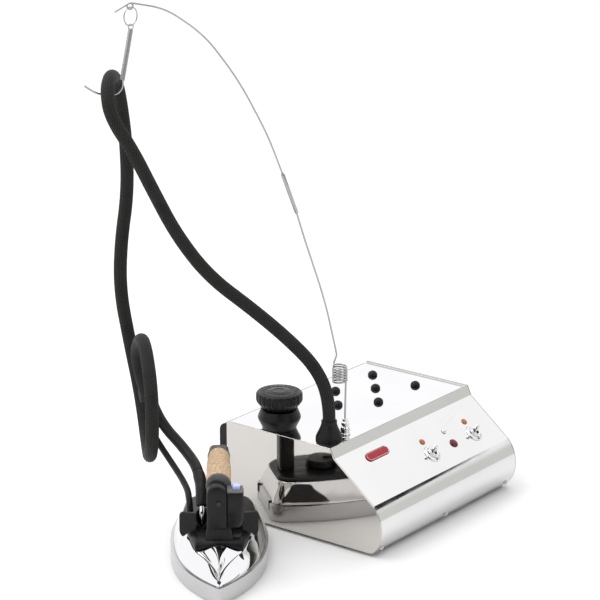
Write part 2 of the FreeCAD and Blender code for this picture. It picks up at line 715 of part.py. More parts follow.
COVER_LOW, COVER_HIGH = SOLE_HIGH + 0.3, 42.0
SHIELD_LOW = COVER_HIGH + GAP
PIPE_AT, INLET_R = V(100, 17.7, 0), 2.5
DIAL_AT, HUB_R = V(135, 0, SHIELD_LOW + 4), 2.5
CABLE_AT = V(110, 30, 0)


def cover_form(inset):
    """The cover's shape: from the sole's edge up to a smaller deck set further back."""
    low = sole_outline(3.0 + inset, COVER_LOW - inset)
    high = sole_outline(3.0 + inset, COVER_HIGH - inset, front=58.0, shrink=0.76)
    return Part.makeLoft([low, high], True, True)


def iron_cover():
    shell = cover_form(0.0).cut(cover_form(1.2))
    for at, radius in ((PIPE_AT, INLET_R + GAP), (DIAL_AT, HUB_R + FREE), (CABLE_AT, CABLE_D / 2)):
        shell = shell.cut(rod(radius, V(at.x, at.y, 34), V(at.x, at.y, 50)))
    return shell


WING_HALF, WING_TOP = 41.0, 66.0
CUP_AT = V(100, -17.7, 0)


def heat_shield():
    """Black guard between the hot cover and the hand: a deck with an upright bowed wall."""
    deck = Part.Face(sole_outline(5.0, SHIELD_LOW, front=62.0, shrink=0.72)).extrude(Z * 4)
    wall = ring(62, 58.6, V(150, 0, SHIELD_LOW + 2), V(150, 0, WING_TOP))
    slab = box((80, -WING_HALF, 30), (125, WING_HALF, WING_TOP))
    wall = wall.common(soften(slab, 8, lambda e: along(e, X) and e.CenterOfMass.z > 60))
    shield = join([deck, wall])
    for at in (PIPE_AT, CUP_AT):
        cup = ring(7.5, 5.6, at + Z * (SHIELD_LOW + 2), at + Z * (WING_TOP - 6))
        shield = join([shield, cup]).cut(rod(5.6, at + Z * 30, at + Z * 80))
    shield = shield.cut(rod(4.0, CABLE_AT + Z * 30, CABLE_AT + Z * 60))
    return shield.cut(rod(HUB_R + FREE, DIAL_AT - Z * 10, DIAL_AT + Z * 10))


POST_FRONT, POST_BACK, POST_LEFT, POST_RIGHT, POST_HIGH = 62.0, 85.0, 12.2, -8.2, 104.5


def front_post():
    """Upright block that carries the front of the grip."""
    post = box((POST_FRONT, POST_RIGHT, SHIELD_LOW + 4 + GAP), (POST_BACK - 3.2, POST_LEFT, POST_HIGH))
    post = soften(post, 8, lambda e: along(e, X) and e.CenterOfMass.z > POST_HIGH - 1)
    at_front = lambda e: e.BoundBox.XMax < POST_FRONT + 0.1 and e.CenterOfMass.z > SHIELD_LOW + 6
    post = soften(post, 2.5, at_front)
    post = post.cut(rod(4.1, V(70, 0, GRIP_Z), V(100, 0, GRIP_Z)))
    return post.cut(rod(1.6, V(POST_FRONT - 1, 0, 85.5), V(POST_FRONT + 12, 0, 85.5)))


SWITCH_TOP, SWITCH_BACK = 96.0, 81.6
BUTTON_AT, BUTTON_HALF = V(74, -18.2, 95), 4.0


def button_well():
    half = BUTTON_HALF + FREE
    foot = BUTTON_AT - V(half, half, 11)
    return Part.makeBox(2 * half, 2 * half, 15, foot)


def switch_housing():
    """Steam switch beside the post, open at the top for its button."""
    body = box((64, -25.5, 58), (SWITCH_BACK, POST_RIGHT - GAP, SWITCH_TOP))
    body = soften(body, 3, lambda e: along(e, Z) and e.CenterOfMass.y < -20)
    return body.cut(button_well())


def button_bracket():
    """Grey frame round the button, on top of the switch housing."""
    plate = box((64.5, -25, SWITCH_TOP + GAP), (SWITCH_BACK, POST_RIGHT - 0.4, SWITCH_TOP + 2))
    return plate.cut(button_well())


def steam_button():
    foot = BUTTON_AT - V(BUTTON_HALF, BUTTON_HALF, 7)
    key = Part.makeBox(2 * BUTTON_HALF, 2 * BUTTON_HALF, 14, foot)
    return soften(key, 1.5, lambda e: e.CenterOfMass.z > 101)


GRIP_FRONT, GRIP_BACK, GRIP_R = 85.0, 165.0, 12.5


def grip():
    """Cork sleeve, a little slimmer towards the heel."""
    front, back = GRIP_FRONT + GAP, GRIP_BACK - GAP
    half = (front + back) / 2
    body = join([
        Part.makeCone(GRIP_R, GRIP_R + 0.4, half - front, V(front, 0, GRIP_Z), X),
        Part.makeCone(GRIP_R + 0.4, GRIP_R - 1.2, back - half, V(half, 0, GRIP_Z), X),
    ])
    return body.cut(rod(4.1, V(front - 1, 0, GRIP_Z), V(back + 1, 0, GRIP_Z)))


def grip_ferrules():
    front = ring(GRIP_R + 0.7, 4.1, V(GRIP_FRONT - 3, 0, GRIP_Z), V(GRIP_FRONT, 0, GRIP_Z))
    rear = ring(GRIP_R - 0.6, 4.1, V(GRIP_BACK, 0, GRIP_Z), V(GRIP_BACK + 3, 0, GRIP_Z))
    return group([front, rear])


def handle_rod():
    return rod(4.0, V(71, 0, GRIP_Z), V(GRIP_BACK + 12, 0, GRIP_Z))


def rear_post():
    """Upright at the heel end of the grip."""
    post = box((GRIP_BACK + 3.2, -10.5, SHIELD_LOW + 4 + GAP), (GRIP_BACK + 19, 10.5, 106))
    post = soften(post, 5, lambda e: along(e, Z) and e.CenterOfMass.x > GRIP_BACK + 15)
    heel = GRIP_BACK + 15
    post = soften(post, 6, lambda e: along(e, Y) and e.CenterOfMass.z > 105 and e.CenterOfMass.x > heel)
    return post.cut(rod(4.1, V(GRIP_BACK, 0, GRIP_Z), V(GRIP_BACK + 13, 0, GRIP_Z)))


def thermostat_dial():
    """Round knob under the grip, with a raised pointer rib."""
    knob = turned([(0, 1), (17, 1), (17.5, 2), (16.5, 8), (15, 9), (0, 9)], DIAL_AT)
    rib = box((DIAL_AT.x - 14, -1.6, DIAL_AT.z + 8), (DIAL_AT.x - 2, 1.6, DIAL_AT.z + 10.5))
    hub = rod(HUB_R, DIAL_AT - Z * 13, DIAL_AT + Z * 2)
    return join([knob, rib, hub])


def iron_thermostat():
    """Sole thermostat under the deck; the dial's spindle stands over it."""
    body = box((DIAL_AT.x - 14, -12, COVER_LOW + 0.4), (DIAL_AT.x + 14, 12, 31))
    return soften(body, 3, lambda e: along(e, Z))


INLET_LEAN = V(7.0, 0, 10.0).normalize()
INLET_BEND = PIPE_AT + Z * 61
INLET_TOP = INLET_BEND + INLET_LEAN * 7
SLEEVE_END = INLET_TOP + INLET_LEAN * GAP
SLEEVE_ROUTE = [V(142, 21.5, 88.5), V(128, 18.6, 84.3), INLET_TOP + INLET_LEAN * 13, SLEEVE_END]


def steam_inlet():
    """Bright pipe, cranked at its top, that takes the steam lead down through the guard."""
    foot = PIPE_AT + Z * 24
    wire, _ = bent([foot, INLET_BEND, INLET_TOP], {1: 9.0})
    return pipe(wire, foot, Z, INLET_R).cut(pipe(wire, foot, Z, 1.6))


def lead_sleeve():
    """Dark shrink sleeve at the iron's end of the steam lead."""
    wire, radii = bent(SLEEVE_ROUTE)
    print("lead_sleeve radii: " + " ".join(f"{r:.1f}" for r in radii))
    return pipe(wire, SLEEVE_ROUTE[0], SLEEVE_ROUTE[1] - SLEEVE_ROUTE[0], STEAM_LEAD_D / 2 + 0.6)


def cable_grommet():
    low = CABLE_AT + Z * (SHIELD_LOW + 4 + GAP)
    return join([ring(5.4, 1.5, low, low + Z * 4.5), ring(3.9, 1.5, low - Z * 4, low + Z * 0.1)])


def iron_screws():
    """Post screw, and the small screw in the cover's nose."""
    front = V(POST_FRONT, 0, 85.5)
    post = join([rod(2.6, front - X * 1.2, front - X * GAP), rod(1.5, front - X * 0.5, front + X * 10)])
    nose_at, nose_up = V(7.5, 0, 21.6), V(-0.33, 0, 0.944)
    head = rod(2.0, nose_at + nose_up * 0.5, nose_at + nose_up * 1.6)
    nose = join([head, rod(1.1, nose_at - nose_up * 0.2, nose_at + nose_up)])
    return group([post, nose])


# --- hoses and cable -------------------------------------------------------------------
SPLIT, SPLIT_LONG = V(-216.5, 235, 160), 10.0
HOSE_ROUTE = [
    BOOT + Z * BOOT_HIGH, BOOT + Z * 46, V(-112, 86, 188), V(-131, 106, 219), V(-159, 133, 255),
    V(-194, 164, 294), V(-220, 185, 341), V(-241, 198, 391), V(-259, 208, 434), V(-279.5, 219, 472),
    V(-272, 230, 495.5), V(-251, 244.5, 505), V(-227.5, 259, 499.5), V(-212, 266.5, 478), V(-207, 263, 426),
    V(-211, 259, 372), V(-219, 263, 319), V(-222, 263, 267), V(-215, 257, 210),
    V(-208, 249, 150), V(-232, 220, 108), V(-269, 184, 108), V(-293, 159, 145), V(-293, 159, 196),
    V(-270, 186, 232), V(-244, 216, 232), V(-224, 242, 197), SPLIT,
]


def split_boot():
    """Moulded piece that ends the hose's sleeve where lead and cable part."""
    return Part.makeCone(HOSE_D / 2 + 0.7, 9.8, SPLIT_LONG, SPLIT, HOSE_END)


HOSE_END = (SPLIT - HOSE_ROUTE[-2]).normalize()
SPLIT_FOOT = SPLIT + HOSE_END * SPLIT_LONG
ASIDE = HOSE_END.cross(V(0.79, 0.61, 0)).normalize()
STEAM_EXIT, CABLE_EXIT = SPLIT_FOOT + ASIDE * 3.5, SPLIT_FOOT - ASIDE * 5.9
SLEEVE_START = iron_point(*SLEEVE_ROUTE[0])
SLEEVE_BACK = (SLEEVE_START - iron_point(*SLEEVE_ROUTE[1])).normalize()
STEAM_ROUTE = [STEAM_EXIT, STEAM_EXIT + HOSE_END * 14, V(-208.5, 214, 119.5), V(-209, 195, 107.5),
               V(-213, 178, 98.5), SLEEVE_START + SLEEVE_BACK * 14, SLEEVE_START + SLEEVE_BACK * GAP]
CABLE_END = iron_point(CABLE_AT.x, CABLE_AT.y, SHIELD_LOW + 8.8)
CABLE_ROUTE = [CABLE_EXIT, CABLE_EXIT + HOSE_END * 14, V(-214, 231, 117), V(-213, 218, 100),
               V(-216, 200, 86), V(-226, 178, 77), V(-240, 158, 73), V(-253, 145, 69.5),
               CABLE_END + Z * 10, CABLE_END]


def main():
    os.makedirs("parts", exist_ok=True)
    fixed = {
        "front_casing": front_casing(), "top_tray": top_tray(),
        "left_side_panel": side_panel(-1), "right_side_panel": side_panel(1),
        "bottom_plate": bottom_plate(), "rear_cover": rear_cover(), "mains_gland": mains_gland(),
        "case_screws": case_screws(), "rubber_feet": rubber_feet(), "rest_pads": rest_pads(),
        "boiler_shell": boiler_shell(),
        "boiler_brackets": boiler_brackets(), "heating_element": heating_element(),
        "pressure_switch": pressure_switch(),
        "safety_thermostat": safety_thermostat(), "filler_neck": filler_neck(),
        "solenoid_valve": solenoid_valve(), "steam_pipe": steam_pipe(),
        "toggle_switches": toggle_switches(), "toggle_nuts": toggle_nuts(),
        "pilot_lamps": group([lamp(x, down, r, 0.6 * r) for x, down, r in PILOTS]),
        "red_lamp": lamp(MID_COLUMN, TOGGLE_ROW, RED_R, 2.6),
        "badge_plate": badge_plate(), "filler_collar": filler_collar(), "hose_boot": hose_boot(),
        "antenna_socket": antenna_socket(), "antenna_spring": antenna_spring(),
    }
    moving = {
        "left_toggle_lever": toggle_lever(*TOGGLES[0]), "right_toggle_lever": toggle_lever(*TOGGLES[1]),
        "cap_shell": cap_shell(), "cap_core": cap_core(), "cap_gasket": cap_gasket(),
        "antenna_whip": antenna_whip(), "whip_ferrule": whip_ferrule(), "whip_tip": whip_tip(),
        "hook_ring": hook_ring(), "hook_spring": hook_spring(), "hose_hook": hose_hook(),
    }
    iron = {
        "soleplate": soleplate(), "sole_heater": sole_heater(), "iron_cover": iron_cover(),
        "heat_shield": heat_shield(), "front_post": front_post(), "rear_post": rear_post(),
        "switch_housing": switch_housing(), "button_bracket": button_bracket(),
        "steam_button": steam_button(), "grip": grip(),
        "grip_ferrules": grip_ferrules(), "handle_rod": handle_rod(),
        "thermostat_dial": thermostat_dial(), "iron_thermostat": iron_thermostat(),
        "steam_inlet": steam_inlet(), "lead_sleeve": lead_sleeve(), "cable_grommet": cable_grommet(),
        "iron_screws": iron_screws(),
    }
    cords = {
        "main_hose": tube(HOSE_ROUTE, HOSE_D, "main_hose"),
        "split_boot": split_boot(),
        "steam_lead": tube(STEAM_ROUTE, STEAM_LEAD_D, "steam_lead"),
        "iron_cable": tube(CABLE_ROUTE, CABLE_D, "iron_cable"),
    }
    rigid = FreeCAD.BoundBox()
    for name, shape in {**fixed, **moving}.items():
        rigid.add(write(name, shape))
    for name, shape in iron.items():
        rigid.add(write(name, seat_iron(shape)))
    for name, shape in cords.items():
        write(name, shape)
    print(f"rigid pieces: x {rigid.XMin:.2f} {rigid.XMax:.2f}  y {rigid.YMin:.2f} {rigid.YMax:.2f}"
          f"  z {rigid.ZMin:.2f} {rigid.ZMax:.2f}")


main()
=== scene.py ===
import json
import math

import bmesh
import bpy
from mathutils import Matrix, Vector
from mathutils.geometry import tessellate_polygon


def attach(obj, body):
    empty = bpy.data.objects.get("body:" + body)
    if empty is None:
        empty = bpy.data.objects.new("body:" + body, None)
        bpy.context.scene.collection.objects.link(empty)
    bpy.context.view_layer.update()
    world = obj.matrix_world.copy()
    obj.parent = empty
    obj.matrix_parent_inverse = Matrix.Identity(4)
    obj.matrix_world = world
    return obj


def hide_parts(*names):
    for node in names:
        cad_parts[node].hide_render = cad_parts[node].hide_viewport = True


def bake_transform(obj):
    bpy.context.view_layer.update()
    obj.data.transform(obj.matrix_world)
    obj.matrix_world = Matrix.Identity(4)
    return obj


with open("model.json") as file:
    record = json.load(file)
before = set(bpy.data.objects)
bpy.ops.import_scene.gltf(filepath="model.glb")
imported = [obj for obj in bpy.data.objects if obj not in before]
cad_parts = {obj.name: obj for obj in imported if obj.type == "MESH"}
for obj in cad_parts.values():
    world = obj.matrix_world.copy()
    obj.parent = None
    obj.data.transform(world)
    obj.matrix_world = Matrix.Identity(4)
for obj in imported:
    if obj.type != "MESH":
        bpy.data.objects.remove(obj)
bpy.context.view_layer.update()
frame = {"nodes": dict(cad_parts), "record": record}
NODES = frame["nodes"]

# Lengths below are millimetres in the housing's own layout: x across, y back from its
# front bottom edge, z up from the table. at() and on_iron() turn them into the frame.
MM = 0.001
ORIGIN = Vector((-97.1, 119.747, 0.0))
IRON_TIP, IRON_TURN = Vector((-323.6, 47.4, 0.0)), math.radians(39.2)
TRAY = 107.7
X, Y, Z = Vector((1, 0, 0)), Vector((0, 1, 0)), Vector((0, 0, 1))


def at(x, y, z):
    return (Vector((x, y, z)) - ORIGIN) * MM


def iron_direction(a, b, z=0.0):
    return Matrix.Rotation(IRON_TURN, 3, "Z") @ Vector((a, b, z))


def on_iron(a, b, z):
    """A point given from the iron's tip: a to the heel, b to its left, z up."""
    return at(*(IRON_TIP + iron_direction(a, b, z)))


# --- camera ---------------------------
CAMERA_AT, LENS, TILT, TURN = (-2115.5, -1435.1, 1045.3), 150.8, 17.27, -52.4


def make_camera():
    data = bpy.data.cameras.new("camera")
    data.lens, data.sensor_width = LENS, 36.0
    data.clip_start, data.clip_end = 0.05, 60.0
    camera = bpy.data.objects.new("camera", data)
    camera.location = at(*CAMERA_AT)
    camera.rotation_euler = (math.radians(90 - TILT), 0.0, math.radians(TURN))
    bpy.context.scene.collection.objects.link(camera)
    bpy.context.scene.camera = camera


# --- materials ------------------------
class Paint:
    """A Principled material, with short ways to add procedural detail to it."""

    def __init__(self, name, color, rough, metal=0.0, **more):
        self.material = bpy.data.materials.new(name)
        self.material.use_nodes = True
        tree = self.material.node_tree
        self.nodes, self.links = tree.nodes, tree.links
        self.shader = self.nodes["Principled BSDF"]
        self.set("Base Color", (*color, 1.0))
        self.set("Roughness", rough)
        self.set("Metallic", metal)
        for socket, value in more.items():
            self.set(socket.replace("_", " "), value)
        self.height = None

    def set(self, socket, value):
        self.shader.inputs[socket].default_value = value

    def node(self, kind, links=(), **settings):
        made = self.nodes.new("ShaderNode" + kind)
        for name, value in settings.items():
            if hasattr(made, name):
                setattr(made, name, value)
            else:
                made.inputs[name.replace("_", " ")].default_value = value
        for socket, source in links:
            self.links.new(source, made.inputs[socket])
        return made

    def place(self, stretch=(1, 1, 1), uv=False):
        """Where on the piece a texture is read, in metres, or (turns, metres) along a tube."""
        source = self.node("TexCoord").outputs["UV" if uv else "Object"]
        return self.node("Mapping", [("Vector", source)], Scale=stretch).outputs["Vector"]

    def noise(self, scale, detail=3.0, stretch=(1, 1, 1), uv=False):
        links = [("Vector", self.place(stretch, uv))]
        return self.node("TexNoise", links, Scale=scale, Detail=detail).outputs["Fac"]

    def cells(self, scale, stretch=(1, 1, 1)):
        return self.node("TexVoronoi", [("Vector", self.place(stretch))], Scale=scale).outputs["Distance"]

    def math(self, operation, first, second=0.0):
        made = self.nodes.new("ShaderNodeMath")
        made.operation = operation
        for socket, value in zip(made.inputs, (first, second)):
            if isinstance(value, (int, float)):
                socket.default_value = value
            else:
                self.links.new(value, socket)
        return made.outputs[0]

    def span(self, source, low, high, to_low=0.0, to_high=1.0):
        made = self.node("MapRange", [("Value", source)], interpolation_type="SMOOTHSTEP")
        for socket, value in zip(list(made.inputs)[1:5], (low, high, to_low, to_high)):
            socket.default_value = value
        return made.outputs["Result"]

    def tint(self, mask, color):
        """Shifts the colour towards another where the mask is 1."""
        mix = self.node("Mix", data_type="RGBA")
        base = self.shader.inputs["Base Color"]
        if base.is_linked:
            self.links.new(base.links[0].from_socket, mix.inputs["A"])
        else:
            mix.inputs["A"].default_value = base.default_value
        mix.inputs["B"].default_value = (*color, 1.0)
        self.links.new(mask, mix.inputs["Factor"])
        self.links.new(mix.outputs["Result"], base)
        return self

    def roughen(self, mask, low, high):
        self.links.new(self.span(mask, 0.3, 0.7, low, high), self.shader.inputs["Roughness"])
        return self

    def bump(self, source, depth_mm, strength=1.0):
        made = self.node("Bump", [("Height", source)], Strength=strength, Distance=depth_mm * MM)
        if self.height:
            self.links.new(self.height, made.inputs["Normal"])
        self.height = made.outputs["Normal"]
        self.links.new(self.height, self.shader.inputs["Normal"])
        return self


def polished_steel(name, color, rough):
    """Bright sheet: rolling lines, faint waviness and handling marks."""
    paint = Paint(name, color, rough, metal=1.0)
    paint.roughen(paint.noise(34, 4), rough * 0.7, rough * 1.5)
    paint.tint(paint.span(paint.noise(9, 2), 0.35, 0.75), [c * 0.955 for c in color])
    return paint.bump(paint.noise(2600, 2, (1, 0.04, 1)), 0.004, 0.25)


def bright_metal(name, color, rough, grain=900, marks=0.3):
    paint = Paint(name, color, rough, metal=1.0)
    paint.roughen(paint.noise(grain, 4), rough * (1 - marks), rough * (1 + 1.6 * marks))
    paint.tint(paint.span(paint.noise(grain / 6, 3), 0.5, 0.8), [c * (1 - marks / 3) for c in color])
    return paint.bump(paint.noise(grain * 3, 2), 0.006, marks)


def moulded(name, color, rough, grain=2400, depth=0.03, **more):
    """Black or coloured moulded plastic or rubber with a fine spark-eroded surface."""
    paint = Paint(name, color, rough, **{"Specular_IOR_Level": 0.27, **more})
    paint.roughen(paint.noise(grain / 12, 5), rough * 0.82, min(rough * 1.2, 1.0))
    paint.tint(paint.span(paint.noise(grain / 30, 4), 0.4, 0.85), [c * 1.5 for c in color])
    return paint.bump(paint.noise(grain, 3), depth, 0.5)


def lens(name, color):
    paint = Paint(name, color, 0.12, Transmission_Weight=0.2, Coat_Weight=0.15, IOR=1.45)
    paint.set("Coat Roughness", 0.05)
    paint.set("Emission Color", (*color, 1.0))
    paint.set("Emission Strength", 0.12)
    paint.tint(paint.span(paint.cells(900), 0.2, 0.7), [c * 0.55 for c in color])
    return paint.bump(paint.cells(900), 0.05, 0.25)


def braided(name, color, turns, pitch_mm):
    """Braided sleeve: two crossing sets of threads, with a painted highlight on their crests."""
    paint = Paint(name, color, 0.72, Sheen_Weight=0.06, Sheen_Roughness=0.4, Specular_IOR_Level=0.24)
    parts = paint.node("SeparateXYZ", [("Vector", paint.place(uv=True))]).outputs
    around = paint.math("MULTIPLY", parts["X"], turns * math.tau)
    along = paint.math("MULTIPLY", parts["Y"], math.tau / (pitch_mm * MM))
    one = paint.math("SINE", paint.math("ADD", around, along))
    other = paint.math("SINE", paint.math("SUBTRACT", around, along))
    weave = paint.math("MAXIMUM", one, other)
    fuzz = paint.noise(3000, 3)
    # Painted highlight: the crests of the weave are painted lighter than the gaps between the threads.
    paint.tint(paint.span(weave, 0.3, 1.0), [c * 4.5 for c in color])
    paint.tint(paint.span(paint.noise(55, 4), 0.45, 0.8), [c * 1.5 for c in color])
    paint.bump(weave, 0.16, 0.6)
    return paint.bump(fuzz, 0.05, 0.5)


def cork(name):
    """Pressed cork: pale granules, dark flecks between them, small pits."""
    paint = Paint(name, (0.66, 0.51, 0.345), 0.68, Specular_IOR_Level=0.3)
    grain = paint.cells(620)
    paint.tint(paint.span(grain, 0.25, 0.62), (0.50, 0.33, 0.18))
    paint.tint(paint.span(paint.noise(260, 5), 0.52, 0.72), (0.76, 0.60, 0.41))
    pits = paint.span(paint.noise(900, 2), 0.66, 0.74)
    paint.tint(pits, (0.20, 0.11, 0.06))
    return paint.bump(grain, 0.12, 0.5).bump(pits, -0.2, 0.6)


def enamel(name, color):
    paint = Paint(name, color, 0.25, Coat_Weight=0.1, Specular_IOR_Level=0.2)
    paint.tint(paint.span(paint.noise(400, 3), 0.4, 0.8), [c * 0.8 for c in color])
    return paint.bump(paint.noise(1200, 2), 0.01, 0.3)


def make_paints():
    paints = {
        "polished_steel": polished_steel("polished_steel", (0.77, 0.77, 0.765), 0.055),
        "mirror_steel": polished_steel("mirror_steel", (0.80, 0.795, 0.805), 0.035),
        "side_steel": polished_steel("side_steel", (0.62, 0.60, 0.57), 0.035),
        "black_steel": bright_metal("black_steel", (0.05, 0.05, 0.05), 0.35),
        "zinc_steel": bright_metal("zinc_steel", (0.60, 0.61, 0.60), 0.38, 500),
        "black_plastic": moulded("black_plastic", (0.006, 0.006, 0.0063), 0.34),
        "screw_steel": bright_metal("screw_steel", (0.66, 0.66, 0.65), 0.22),
        "black_rubber": moulded("black_rubber", (0.006, 0.006, 0.006), 0.46, 1800, 0.04),
        "boiler_steel": bright_metal("boiler_steel", (0.62, 0.60, 0.57), 0.32, 300),
        "element_steel": bright_metal("element_steel", (0.28, 0.26, 0.24), 0.45, 500),
        "brass": bright_metal("brass", (0.70, 0.50, 0.22), 0.26),
        "copper": bright_metal("copper", (0.72, 0.36, 0.22), 0.28),
        "chrome": bright_metal("chrome", (0.78, 0.78, 0.785), 0.04, 300, 0.08),
        "amber_lens": lens("amber_lens", (0.62, 0.20, 0.055)),
        "red_lens": lens("red_lens", (0.16, 0.005, 0.012)),
        "red_enamel": enamel("red_enamel", (0.40, 0.024, 0.034)),
        "spring_steel": bright_metal("spring_steel", (0.42, 0.42, 0.41), 0.12, 600, 0.05),
        "black_fabric": braided("black_fabric", (0.006, 0.006, 0.0056), 15, 4.4),
        "dark_rubber": moulded("dark_rubber", (0.005, 0.005, 0.005), 0.42, 1500, 0.03),
        "grey_plastic": moulded("grey_plastic", (0.13, 0.125, 0.12), 0.48),
        "aluminium": bright_metal("aluminium", (0.56, 0.56, 0.565), 0.24, 120, 0.04),
        "button_plastic": moulded("button_plastic", (0.50, 0.58, 0.98), 0.22, 1500, 0.01, Coat_Weight=0.5),
        "cork": cork("cork"),
        "ceramic": moulded("ceramic", (0.78, 0.75, 0.68), 0.5, 900),
    }
    return {name: paint.material for name, paint in paints.items()}


# --- mesh helpers ---------------------
SAME_POINT, COVER_WELD, SHELL_WELD = 0.001, 0.02, 0.05      # gaps in mm that are joined


def merge(mesh, gap_mm, turn_outward=False):
    """Joins points closer than a gap, so that no seam or empty face is left."""
    sheet = bmesh.new()
    sheet.from_mesh(mesh)
    bmesh.ops.remove_doubles(sheet, verts=sheet.verts, dist=gap_mm * MM)
    if turn_outward:
        bmesh.ops.recalc_face_normals(sheet, faces=sheet.faces)
    sheet.to_mesh(mesh)
    sheet.free()


def piece(name, points, faces, slot, body=None, replaces=(), uvs=None, smooth=True):
    """A new mesh object in the frame, finished with the record's material slot."""
    mesh = bpy.data.meshes.new(name)
    mesh.from_pydata([tuple(p) for p in points], [], faces)
    if uvs:
        layer = mesh.uv_layers.new(name="along")
        for loop in mesh.loops:
            layer.data[loop.index].uv = uvs[loop.vertex_index]
    else:
        merge(mesh, SAME_POINT)
    mesh.materials.append(PAINTS[slot])
    mesh.polygons.foreach_set("use_smooth", [smooth] * len(mesh.polygons))
    made = bpy.data.objects.new(name, mesh)
    bpy.context.scene.collection.objects.link(made)
    if body:
        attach(made, body)
    if replaces:
        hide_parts(*replaces)
    return made


def grid_faces(rows, columns, first=0, around=True):
    """Faces between rows of points; around joins each row's end to its start."""
    faces = []
    for i in range(rows - 1):
        for j in range(columns if around else columns - 1):
            k = (j + 1) % columns
            a, b = first + i * columns, first + (i + 1) * columns
            faces.append((a + j, a + k, b + k, b + j))
    return faces


def bevelled(made, width_mm=0.4, segments=2, angle=35):
    edge = made.modifiers.new("edge", "BEVEL")
    edge.width, edge.segments = width_mm * MM, segments
    edge.limit_method, edge.angle_limit = "ANGLE", math.radians(angle)
    return made


def square_to(direction):
    """Two unit vectors across a direction."""
    direction = direction.normalized()
    side = direction.cross(X if abs(direction.x) < 0.9 else Y).normalized()
    return side, direction.cross(side)


def lathe(profile, foot, axis=Z, sides=96, shape=None):
    """Rows of points turned about an axis. profile is (radius, height) in mm; shape(i, radius,
    angle) may change a point's radius. Radius 0 closes an end."""
    across, over = square_to(axis)
    points, faces = [], []
    for i, (radius, height) in enumerate(profile):
        for j in range(sides):
            turn = math.tau * j / sides
            r = shape(i, radius, turn) if shape else radius
            spoke = across * math.cos(turn) + over * math.sin(turn)
            points.append(foot + (spoke * r + axis * height) * MM)
    return points, grid_faces(len(profile), sides)


def add_shell(points, faces, shell):
    """Adds a shell's points and faces to those that a piece already has."""
    more, skin = shell
    faces.extend([tuple(k + len(points) for k in face) for face in skin])
    points.extend(more)


def smooth_line(route, order=3):
    """Points along the smooth NURBS line that has the route as its control points."""
    curve = bpy.data.curves.new("line", "CURVE")
    curve.dimensions, curve.resolution_u = "3D", 24
    spline = curve.splines.new("NURBS")
    spline.points.add(len(route) - 1)
    for spot, p in zip(spline.points, route):
        spot.co = (*p, 1.0)
    spline.order_u, spline.use_endpoint_u = order, True
    holder = bpy.data.objects.new("line", curve)
    bpy.context.scene.collection.objects.link(holder)
    line = bpy.data.meshes.new_from_object(holder)
    points = [v.co.copy() for v in line.vertices]
    bpy.data.objects.remove(holder)
    bpy.data.meshes.remove(line)
    bpy.data.curves.remove(curve)
    return points


def even(points, step):
    """The same line with its points a fixed step apart, in metres."""
    kept, carried = [points[0]], 0.0
    for a, b in zip(points, points[1:]):
        run = (b - a).length
        while carried + run >= step:
            a = a.lerp(b, (step - carried) / run)
            kept.append(a)
            run, carried = (b - a).length, 0.0
        carried += run
    return [*kept[:-1], points[-1]]


def tube(points, radius, sides=24, roll=0.0):
    """A tube along a line. radius(share, angle) is in metres. Returns points, faces and uvs:
    turns round the tube and metres along it."""
    headings = [(b - a).normalized() for a, b in zip(points, points[1:])]
    headings.append(headings[-1])
    side, _ = square_to(headings[0])
    made, uvs, gone = [], [], 0.0
    for i, (p, heading) in enumerate(zip(points, headings)):
        if i:
            gone += (p - points[i - 1]).length
            heading = (headings[i - 1] + heading).normalized()
        side = (side - heading * side.dot(heading)).normalized()
        over = heading.cross(side)
        for j in range(sides + 1):
            turn = math.tau * j / sides
            spoke = side * math.cos(turn + roll) + over * math.sin(turn + roll)
            made.append(p + spoke * radius(i / (len(points) - 1), turn))
            uvs.append((j / sides, gone))
    faces = grid_faces(len(points), sides + 1, around=False)
    last = (len(points) - 1) * (sides + 1)
    faces.append(tuple(reversed(range(sides))))
    faces.append(tuple(range(last, last + sides)))
    return made, faces, uvs


def plain_radius(diameter_mm):
    return lambda share, turn: diameter_mm / 2 * MM


def wire(name, points, diameter_mm, slot, body=None, replaces=(), sides=14):
    made, faces, uvs = tube(points, plain_radius(diameter_mm), sides)
    return piece(name, made, faces, slot, body, replaces, uvs)


# --- hoses and cable ------------------
BOOT, BOOT_HIGH = at(-102.3, 76.1, TRAY), 20.0
HOSE_D, LEAD_D, CABLE_D = 14.0, 11.5, 6.8
HOSE_ROUTE = [at(*p) for p in (
    (-102.3, 76.1, 127.7), (-102.3, 76.1, 153.7), (-112, 86, 188), (-131, 106, 219), (-159, 133, 255),
    (-194, 164, 294), (-220, 185, 341), (-241, 198, 391), (-259, 208, 434), (-279.5, 219, 472),
    (-272, 230, 495.5), (-251, 244.5, 505), (-227.5, 259, 499.5), (-212, 266.5, 478), (-207, 263, 426),
    (-211, 259, 372), (-219, 263, 319), (-222, 263, 267), (-215, 257, 210),
    (-208, 249, 150), (-232, 220, 108), (-269, 184, 108), (-293, 159, 145), (-293, 159, 196),
    (-270, 186, 232), (-244, 216, 232), (-224, 242, 197), (-216.5, 235, 160),
)]
SPLIT, SPLIT_LONG = HOSE_ROUTE[-1], 10.0
HOSE_END = (SPLIT - HOSE_ROUTE[-2]).normalized()
SPLIT_FOOT = SPLIT + HOSE_END * SPLIT_LONG * MM
ASIDE = HOSE_END.cross(Vector((0.79, 0.61, 0))).normalized()
STEAM_EXIT, CABLE_EXIT = SPLIT_FOOT + ASIDE * 3.5 * MM, SPLIT_FOOT - ASIDE * 5.9 * MM
INLET_LEAN = Vector((7.0, 0, 10.0)).normalized()
INLET_TOP = Vector((100, 17.7, 61)) + INLET_LEAN * 7
SLEEVE_ROUTE = [on_iron(*p) for p in (
    (142, 21.5, 88.5), (128, 18.6, 84.3), INLET_TOP + INLET_LEAN * 13, INLET_TOP + INLET_LEAN * 0.1)]
SLEEVE_BACK = (SLEEVE_ROUTE[0] - SLEEVE_ROUTE[1]).normalized()
